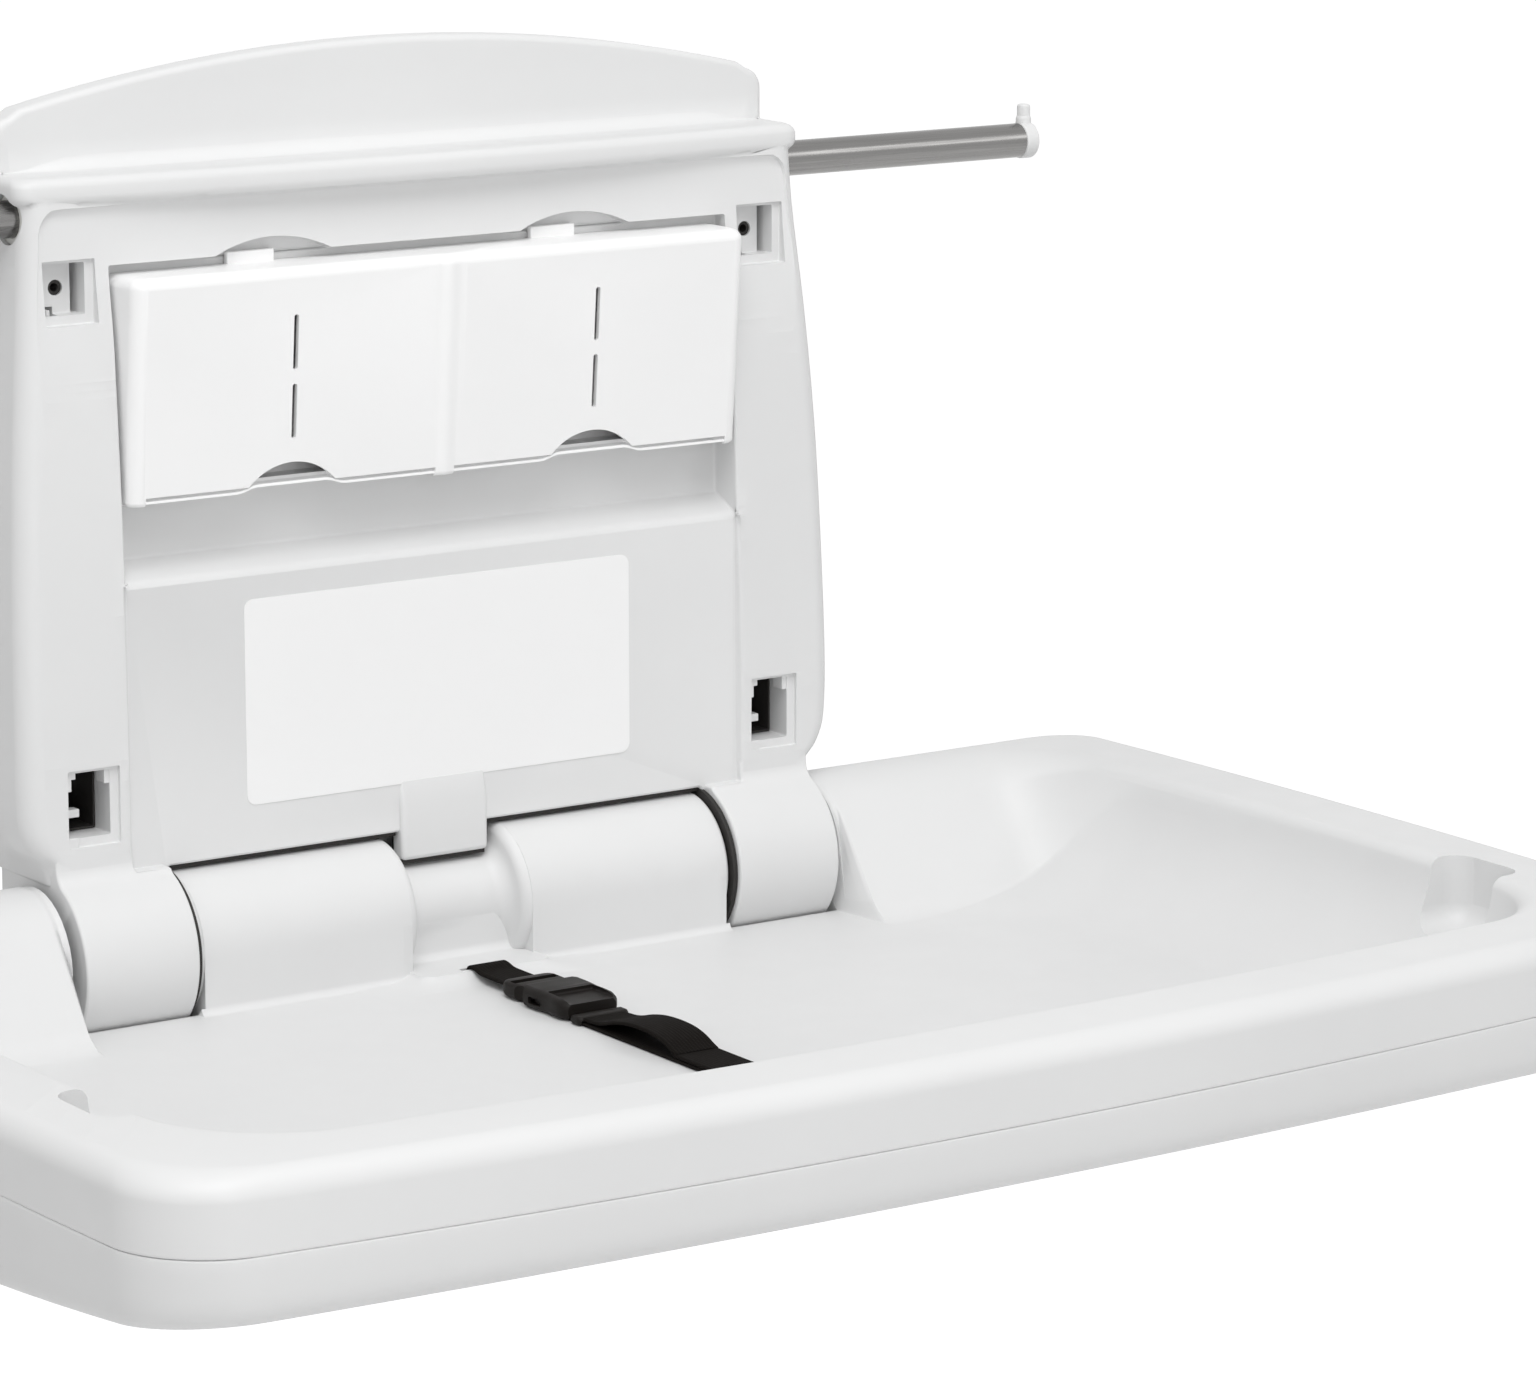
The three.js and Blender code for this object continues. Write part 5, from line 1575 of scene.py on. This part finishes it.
@dataclass
class Strap:
    """The safety strap with its side-release buckle and adjuster."""

    width: float = 25.0
    thick: float = 1.8
    low: float = -28.2
    slot_d: float = -48.0
    slot_top: float = -23.2
    buckle_rear: float = -85.5
    buckle_length: float = 61.5
    buckle_width: float = 34.0
    buckle_height: float = 10.5
    tongue: float = 21.0
    prong: float = 18.0
    end: float = -418.0
    adjuster: float = -149.0
    loop: Span = (-163.0, -241.0)
    loop_rise: float = 6.8

    def ribbon(self, name: str, line: Sequence[Point], width: float | None = None) -> bpy.types.Object:
        """A webbing band along a line of (d, h) points.

        Args:
            name: The object's name.
            line: The middle of the band's thickness.
            width: Its width, or none for the strap's own.

        Returns:
            The new band.
        """
        half, t = (width or self.width) / 2, self.thick / 2
        across = [(-half + t, t), (half - t, t), *arc((half - t, 0), t, 60, -60, 4), (half - t, -t)]
        across += [(t - half, -t), *arc((t - half, 0), t, 240, 120, 4)]
        rings = []
        for k, (d, h) in enumerate(line):
            a, b = line[max(0, k - 1)], line[min(len(line) - 1, k + 1)]
            length = math.hypot(b[0] - a[0], b[1] - a[1])
            nd, nh = -(b[1] - a[1]) / length, (b[0] - a[0]) / length
            if nh < 0 or (abs(nh) < 1e-6 and nd < 0):
                nd, nh = -nd, -nh
            rings.append([bed_point(x, d + nd * v, h + nh * v) for x, v in across])
        return shade(skin(name, rings), 50)

    def bend(self, points: Sequence[Point], steps: int = 8) -> list[Point]:
        """A smooth line through given points."""
        fine = []
        for j in range(len(points) - 1):
            p0, p1 = points[max(0, j - 1)], points[j]
            p2, p3 = points[j + 1], points[min(len(points) - 1, j + 2)]
            for k in range(steps):
                t = k / steps
                fine.append(
                    tuple(
                        0.5 * (2 * b + (c - a) * t + (2 * a - 5 * b + 4 * c - d) * t * t + (3 * b - a - 3 * c + d) * t**3)
                        for a, b, c, d in zip(p0, p1, p2, p3)
                    )
                )
        return [*fine, points[-1]]

    def rear_band(self) -> bpy.types.Object:
        """The short band from the bed to the buckle's tongue."""
        lift = self.low + 4.5
        line = [(self.slot_d, -40), (self.slot_d, -30), (self.slot_d, self.slot_top - 1.2), (self.slot_d - 2, self.slot_top + 1)]
        line += [(-54, self.slot_top + 1), (-60, self.slot_top - 0.3), (-68, lift), (self.buckle_rear - 9, lift)]
        return self.ribbon("strap_rear_skin", self.bend(line), self.width - 4)

    def front_band(self) -> bpy.types.Object:
        """The long band from the buckle to the front of the bed."""
        mid = self.low + self.thick / 2
        start = self.buckle_rear - self.buckle_length + 9.5
        count = 40
        line = [(lerp(start, self.end, k / count), mid) for k in range(count + 1)]
        return self.ribbon("strap_front_skin", line)

    def loop_band(self) -> bpy.types.Object:
        """The slack that stands up as a loose fold over the band."""
        near, far = self.loop
        mid = self.low + 1.55 * self.thick
        rise = self.loop_rise
        shares = ((0, 0.05), (0.08, 0.12), (0.16, 0.3), (0.26, 0.62), (0.38, 0.88), (0.5, 0.99), (0.62, 1.0))
        shares += ((0.73, 0.9), (0.83, 0.64), (0.91, 0.28), (0.96, 0.08), (1, 0))
        line = [(lerp(near, far, t), mid + rise * h) for t, h in shares]
        line.append((far - 60, mid))
        return self.ribbon("strap_loop_skin", self.bend([(near + 9, mid), *line], 6), self.width - 0.6)

    def lozenge(self, name: str, stations: Sequence[tuple[float, float, float, float]], round_off: float) -> bpy.types.Object:
        """A body with rounded-oblong sections along the strap.

        Args:
            name: The object's name.
            stations: Place, half width, foot and top of each section.
            round_off: Radius of the sections' corners.

        Returns:
            The new solid.
        """
        rings = []
        for d, half, foot, top in stations:
            r = min(round_off, half * 0.9, (top - foot) * 0.48)
            ring = []
            for cx, cz, a in ((half - r, top - r, 0), (r - half, top - r, 90), (r - half, foot + r, 180), (half - r, foot + r, 270)):
                ring += arc((cx, cz), r, a, a + 90, 5)
            rings.append([bed_point(x, d, h) for x, h in ring])
        return skin(name, rings)

    def waist(self) -> list[bpy.types.Object]:
        """The round gaps at both sides of the buckle where its prongs are pressed."""
        cuts = []
        for side in Side:
            at = bed_point(side.value * (self.buckle_width / 2 + 1.6), self.buckle_rear - self.tongue + 1.5, self.low)
            cuts.append(rod("waist", 6.2, at + Vector((0, 0, -0.01)), at + Vector((0, 0, 0.03)), 48))
        return cuts

    def tongue_solid(self) -> bpy.types.Object:
        """The buckle's tongue with two sprung prongs and a guide."""
        rear, near = self.buckle_rear, self.buckle_rear - self.tongue
        half, low, high = self.buckle_width / 2 - 2, self.low, self.low + self.buckle_height - 2
        run = [(0, half - 3.5, 1.4), (0.06, half - 1.8, 0.6), (0.16, half - 0.6, 0.2), (0.3, half, 0), (0.72, half, 0)]
        run += [(0.86, half - 0.2, 0.1), (0.96, half - 0.6, 0.4), (1, half - 1.0, 0.8)]
        body = self.lozenge("buckle_tongue_skin", [(lerp(rear, near, t), w, low + c, high - c) for t, w, c in run], 3)
        combine(body, self.waist(), Cut.TAKE)
        x = (-self.width / 2 - 0.5, self.width / 2 + 0.5)
        combine(body, [bed_block("eye", x, (rear + 1, rear - 7.5), (low + 3.0, low + 6.0), 0.5)], Cut.TAKE)
        combine(body, [bed_block("bar_gap", x, (rear - 7.4, rear - 12.5), (low + 3.2, high + 1), 0.5)], Cut.TAKE)
        z = (low + 3, low + self.buckle_height - 4)
        for middle in (-11, 0, 11):
            arm = bed_block("prong", (middle - 2, middle + 2), (near - self.prong, near + 2), z, 0.7)
            combine(body, [arm], Cut.JOIN)
        for side in Side:
            barb = bed_block("barb", side.span(11.5, 14.4), (near - self.prong, near - self.prong + 7), z, 0.7)
            combine(body, [barb], Cut.JOIN)
        return shade(body, 40)

    def socket_solid(self) -> bpy.types.Object:
        """The buckle's socket with curved shoulders and side windows for the prongs."""
        near, far = self.buckle_rear - self.tongue - GAP, self.buckle_rear - self.buckle_length
        half, low, high = self.buckle_width / 2, self.low, self.low + self.buckle_height
        run = [(0, half - 0.8, 0.7), (0.03, half - 0.2, 0.2), (0.1, half, 0), (0.3, half, 0), (0.42, half - 0.4, 0)]
        run += [(0.56, half - 1.0, 0), (0.7, half - 0.6, 0.1), (0.84, half - 0.3, 0.5), (0.94, half - 1.2, 1.2), (1, half - 3.2, 2.2)]
        body = self.lozenge("buckle_socket_skin", [(lerp(near, far, t), w, low + c * 0.3, high - c) for t, w, c in run], 3.4)
        z = (low + 3, low + self.buckle_height - 4)
        tip = near + GAP - self.prong
        room = bed_block("room", (4 - half - 2, half - 2), (tip - 2, near + 2), (z[0] - GAP, z[1] + GAP), 0.6)
        mouth = bed_block("mouth", (-13, 13), (far - 1, far + 10), (low - 1, low + self.thick + GAP), 0)
        windows = bed_block("windows", (-half - 2, half + 2), (tip - 1.5, tip + 9), z, 1.2)
        combine(body, [room, mouth, windows], Cut.TAKE)
        step = bed_block("step", (4 - half, half - 4), (far - 4, lerp(near, far, 0.5)), (high - 2.4, high + 5), 1.2)
        combine(body, [step, *self.waist()], Cut.TAKE)
        return shade(body, 40)

    def glide_solid(self) -> bpy.types.Object:
        """The adjuster that the slack runs back through."""
        half, high = self.width / 2 + 2.2, self.low + self.thick + 2.6
        near, far = self.adjuster, self.adjuster - 9
        run = [(0, half - 1.6, 1.2), (0.1, half - 0.5, 0.4), (0.25, half, 0), (0.75, half, 0), (0.9, half - 0.5, 0.4), (1, half - 1.6, 1.2)]
        body = self.lozenge("strap_adjuster_skin", [(lerp(near, far, t), w, self.low, high - c) for t, w, c in run], 1.6)
        x = (-self.width / 2 - 0.5, self.width / 2 + 0.5)
        way = bed_block("way", x, (near + 8, far - 8), (self.low - 1, self.low + self.thick + GAP), 0)
        combine(body, [way], Cut.TAKE)
        return shade(body, 40)


# The blank notice


@dataclass
class Notice:
    """A plain film on the lower panel, left bare for the owner's own wording."""

    half: float = 111.0
    rows: Span = (65.0, 167.0)
    panel: float = 58.0
    thick: float = 0.35
    corner: float = 5.0

    def build(self) -> bpy.types.Object:
        """Builds the film.

        Returns:
            The film.
        """
        low, high = self.rows
        r, line = self.corner, []
        for cx, ch, a in (
            (self.half - r, high - r, 0), (r - self.half, high - r, 90), (r - self.half, low + r, 180), (self.half - r, low + r, 270)
        ):
            line += arc((cx, ch), r, a, a + 90, 6)
        ring = [wall_point(x, self.panel + 0.02, h) for x, h in line]
        return shade(prism("notice_film", ring, Vector((0, -self.thick * MM, 0))))


# Stage


def show_white(tree: bpy.types.NodeTree, lit: float, shown: float) -> bpy.types.NodeSocket:
    """A strength that differs between the light given off and what is seen.

    Args:
        tree: The node tree of the stage's material or world.
        lit: Strength for the rays that light the object.
        shown: Strength for the camera, for mirrors and through clear pieces.

    Returns:
        The strength's socket.
    """
    path = tree.nodes.new("ShaderNodeLightPath")
    seen = path.outputs["Is Camera Ray"]
    for ray in ("Is Glossy Ray", "Is Transmission Ray"):
        either = tree.nodes.new("ShaderNodeMath")
        either.operation = "MAXIMUM"
        tree.links.new(seen, either.inputs[0])
        tree.links.new(path.outputs[ray], either.inputs[1])
        seen = either.outputs[0]
    level = tree.nodes.new("ShaderNodeMapRange")
    level.inputs["To Min"].default_value = lit
    level.inputs["To Max"].default_value = shown
    tree.links.new(seen, level.inputs["Value"])
    return level.outputs["Result"]


@dataclass
class Studio:
    """The photo's camera, with a pale floor, a white room and soft lamps."""

    size: tuple[int, int] = (1536, 1373)
    lens: float = 138.14
    spot: tuple[float, float, float] = (-1.48239, -2.51575, 0.50303)
    turn: tuple[float, float, float] = (78.36, 0.0, -34.31)
    shift: Span = (0.00175, -0.0016)
    floor: float = -0.9
    room: float = 0.54

    def camera(self) -> None:
        """Sets the camera where the photo was taken from."""
        bpy.ops.object.select_all(action="DESELECT")
        bpy.ops.object.camera_add(location=self.spot, rotation=[math.radians(a) for a in self.turn])
        camera = bpy.context.object
        camera.name = "photo_camera"
        camera.data.lens = self.lens
        camera.data.sensor_width = 36
        camera.data.sensor_fit = "HORIZONTAL"
        camera.data.shift_x, camera.data.shift_y = self.shift
        camera.data.clip_end = 50
        scene = bpy.context.scene
        scene.camera = camera
        scene.render.resolution_x, scene.render.resolution_y = self.size
        scene.view_settings.view_transform = "Standard"

    def sky(self) -> None:
        """Lights the room evenly and shows plain white behind the object."""
        world = bpy.data.worlds.new("room")
        bpy.context.scene.world = world
        world.use_nodes = True
        tree = world.node_tree
        back = tree.nodes["Background"]
        back.inputs["Color"].default_value = (1, 1, 1, 1)
        tree.links.new(show_white(tree, self.room, 1.0), back.inputs["Strength"])

    def lamp(self, name: str, spot: Sequence[float], aim: Sequence[float], size: float, power: float) -> None:
        """Adds one soft lamp.

        Args:
            name: The lamp's name.
            spot: Its place.
            aim: The point it looks at.
            size: Length of its square face.
            power: Its power in watts.
        """
        bpy.ops.object.select_all(action="DESELECT")
        bpy.ops.object.light_add(type="AREA", location=spot)
        lamp = bpy.context.object
        lamp.name = name
        lamp.data.size = size
        lamp.data.energy = power
        lamp.rotation_euler = (Vector(aim) - Vector(spot)).to_track_quat("-Z", "Y").to_euler()

    def ground(self) -> None:
        """Lays a pale floor that keeps the shadow and is white to the camera elsewhere."""
        bpy.ops.object.select_all(action="DESELECT")
        bpy.ops.mesh.primitive_plane_add(size=40, location=(0, 0, self.floor))
        floor = bpy.context.object
        floor.name = "studio_floor"
        material, tree, shader, place = new_material("studio_floor")
        patch = noise(tree, place.outputs["Object"], 0.8)
        share = spread(tree, patch.outputs["Fac"], 0.0, 1.0)
        tree.links.new(tint(tree, share, (0.80, 0.80, 0.80), (0.79, 0.79, 0.79)), shader.inputs["Base Color"])
        shader.inputs["Roughness"].default_value = 0.9
        shader.inputs["Specular IOR Level"].default_value = 0.1
        shader.inputs["Emission Color"].default_value = (1, 1, 1, 1)
        tree.links.new(show_white(tree, 0.0, 0.6), shader.inputs["Emission Strength"])
        floor.data.materials.append(material)

    def build(self) -> None:
        """Sets the whole stage."""
        self.camera()
        self.sky()
        self.ground()
        self.lamp("overhead", (-0.6, -1.4, 2.3), (0, -0.25, -0.2), 1.6, 42)
        self.lamp("side", (-2.4, -0.9, 1.1), (0, -0.2, -0.1), 1.6, 3)
        self.lamp("front", (-0.9, -3.3, 0.5), (0, -0.2, -0.1), 1.7, 16)
        self.lamp("edge", (1.8, -1.8, 1.2), (0.33, -0.05, 0.16), 0.8, 4.5)


# The whole station


def repaint_frame(paints: Paintbox) -> None:
    """Gives the frame's own nodes that stay in sight their finishes."""
    paints.repaint(("wall_frame", "bed_tray", "bed_base"), PLATINUM)
    paints.repaint(("liner_bin", "rod_cap", "dispenser_cover"), WHITE)
    paints.repaint(("rod_bush", "hinge_bush"), NYLON)
    paints.repaint(("wall_plate", "plate_screw", "bed_screw", "hinge_pin", "hinge_clip", "strap_keeper"), ZINC)
    paints.repaint(("bag_rod",), ALUMINIUM)
    paints.repaint(("buckle", "strap_adjuster"), BLACK)
    paints.repaint(("strap_rear", "strap_front"), WEBBING)


def build_station(paints: Paintbox) -> None:
    """Builds every piece of the station and hands it to its body.

    Args:
        paints: The finishes.
    """
    bed = Bed()
    paints.dress(bed.tray(), PLATINUM, "bed", "bed_tray")
    paints.dress(bed.base(), PLATINUM, "bed", "bed_base")
    unit = WallUnit()
    paints.dress(unit.build(), PLATINUM, "wall", "wall_frame")
    for side in Side:
        # Dark pieces that paint shade into the lower pockets, the upper screw holes and the gaps beside the knuckles.
        paints.dress(unit.pocket_shade_liner(side), SHADE_BLACK, "wall")
        paints.dress(unit.screw_shade_plug(side), SHADE_BLACK, "wall")
        paints.dress(unit.gap_shade_disc(side), SHADE_BLACK, "wall")
    # A dark strip that paints the shadow in the gap over the bed's barrel.
    paints.dress(unit.gap_shade_strip(), SHADE_BLACK, "wall")
    dispenser = Dispenser()
    paints.dress(dispenser.build(), WHITE, "wall", "dispenser_cover")
    for side in Side:
        paints.dress(dispenser.bin(side), WHITE, "wall", side.node("liner_bin"))
        paints.dress(dispenser.lip(side), WHITE, "wall")
    paints.dress(Notice().build(), FILM, "wall")
    bag_rod = BagRod()
    paints.dress(bag_rod.tube(), ALUMINIUM, "wall", "bag_rod")
    for side in Side:
        paints.dress(bag_rod.cap_solid(side), PLATINUM, "wall", side.node("rod_cap"))
    strap = Strap()
    paints.dress(strap.rear_band(), WEBBING, "bed", "strap_rear")
    paints.dress(strap.tongue_solid(), BLACK, "bed", "buckle_tongue")
    paints.dress(strap.socket_solid(), BLACK, "buckle_half", "buckle_socket")
    paints.dress(strap.front_band(), WEBBING, "buckle_half", "strap_front")
    loop = paints.dress(strap.loop_band(), WEBBING, "buckle_half")
    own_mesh(loop)
    paints.dress(strap.glide_solid(), BLACK, "buckle_half", "strap_adjuster")


def main() -> None:
    """Builds the station and its stage."""
    logging.basicConfig(level=logging.INFO, format="%(name)s: %(message)s")
    paints = Paintbox()
    repaint_frame(paints)
    build_station(paints)
    Studio().build()


if __name__ == "__main__":
    main()
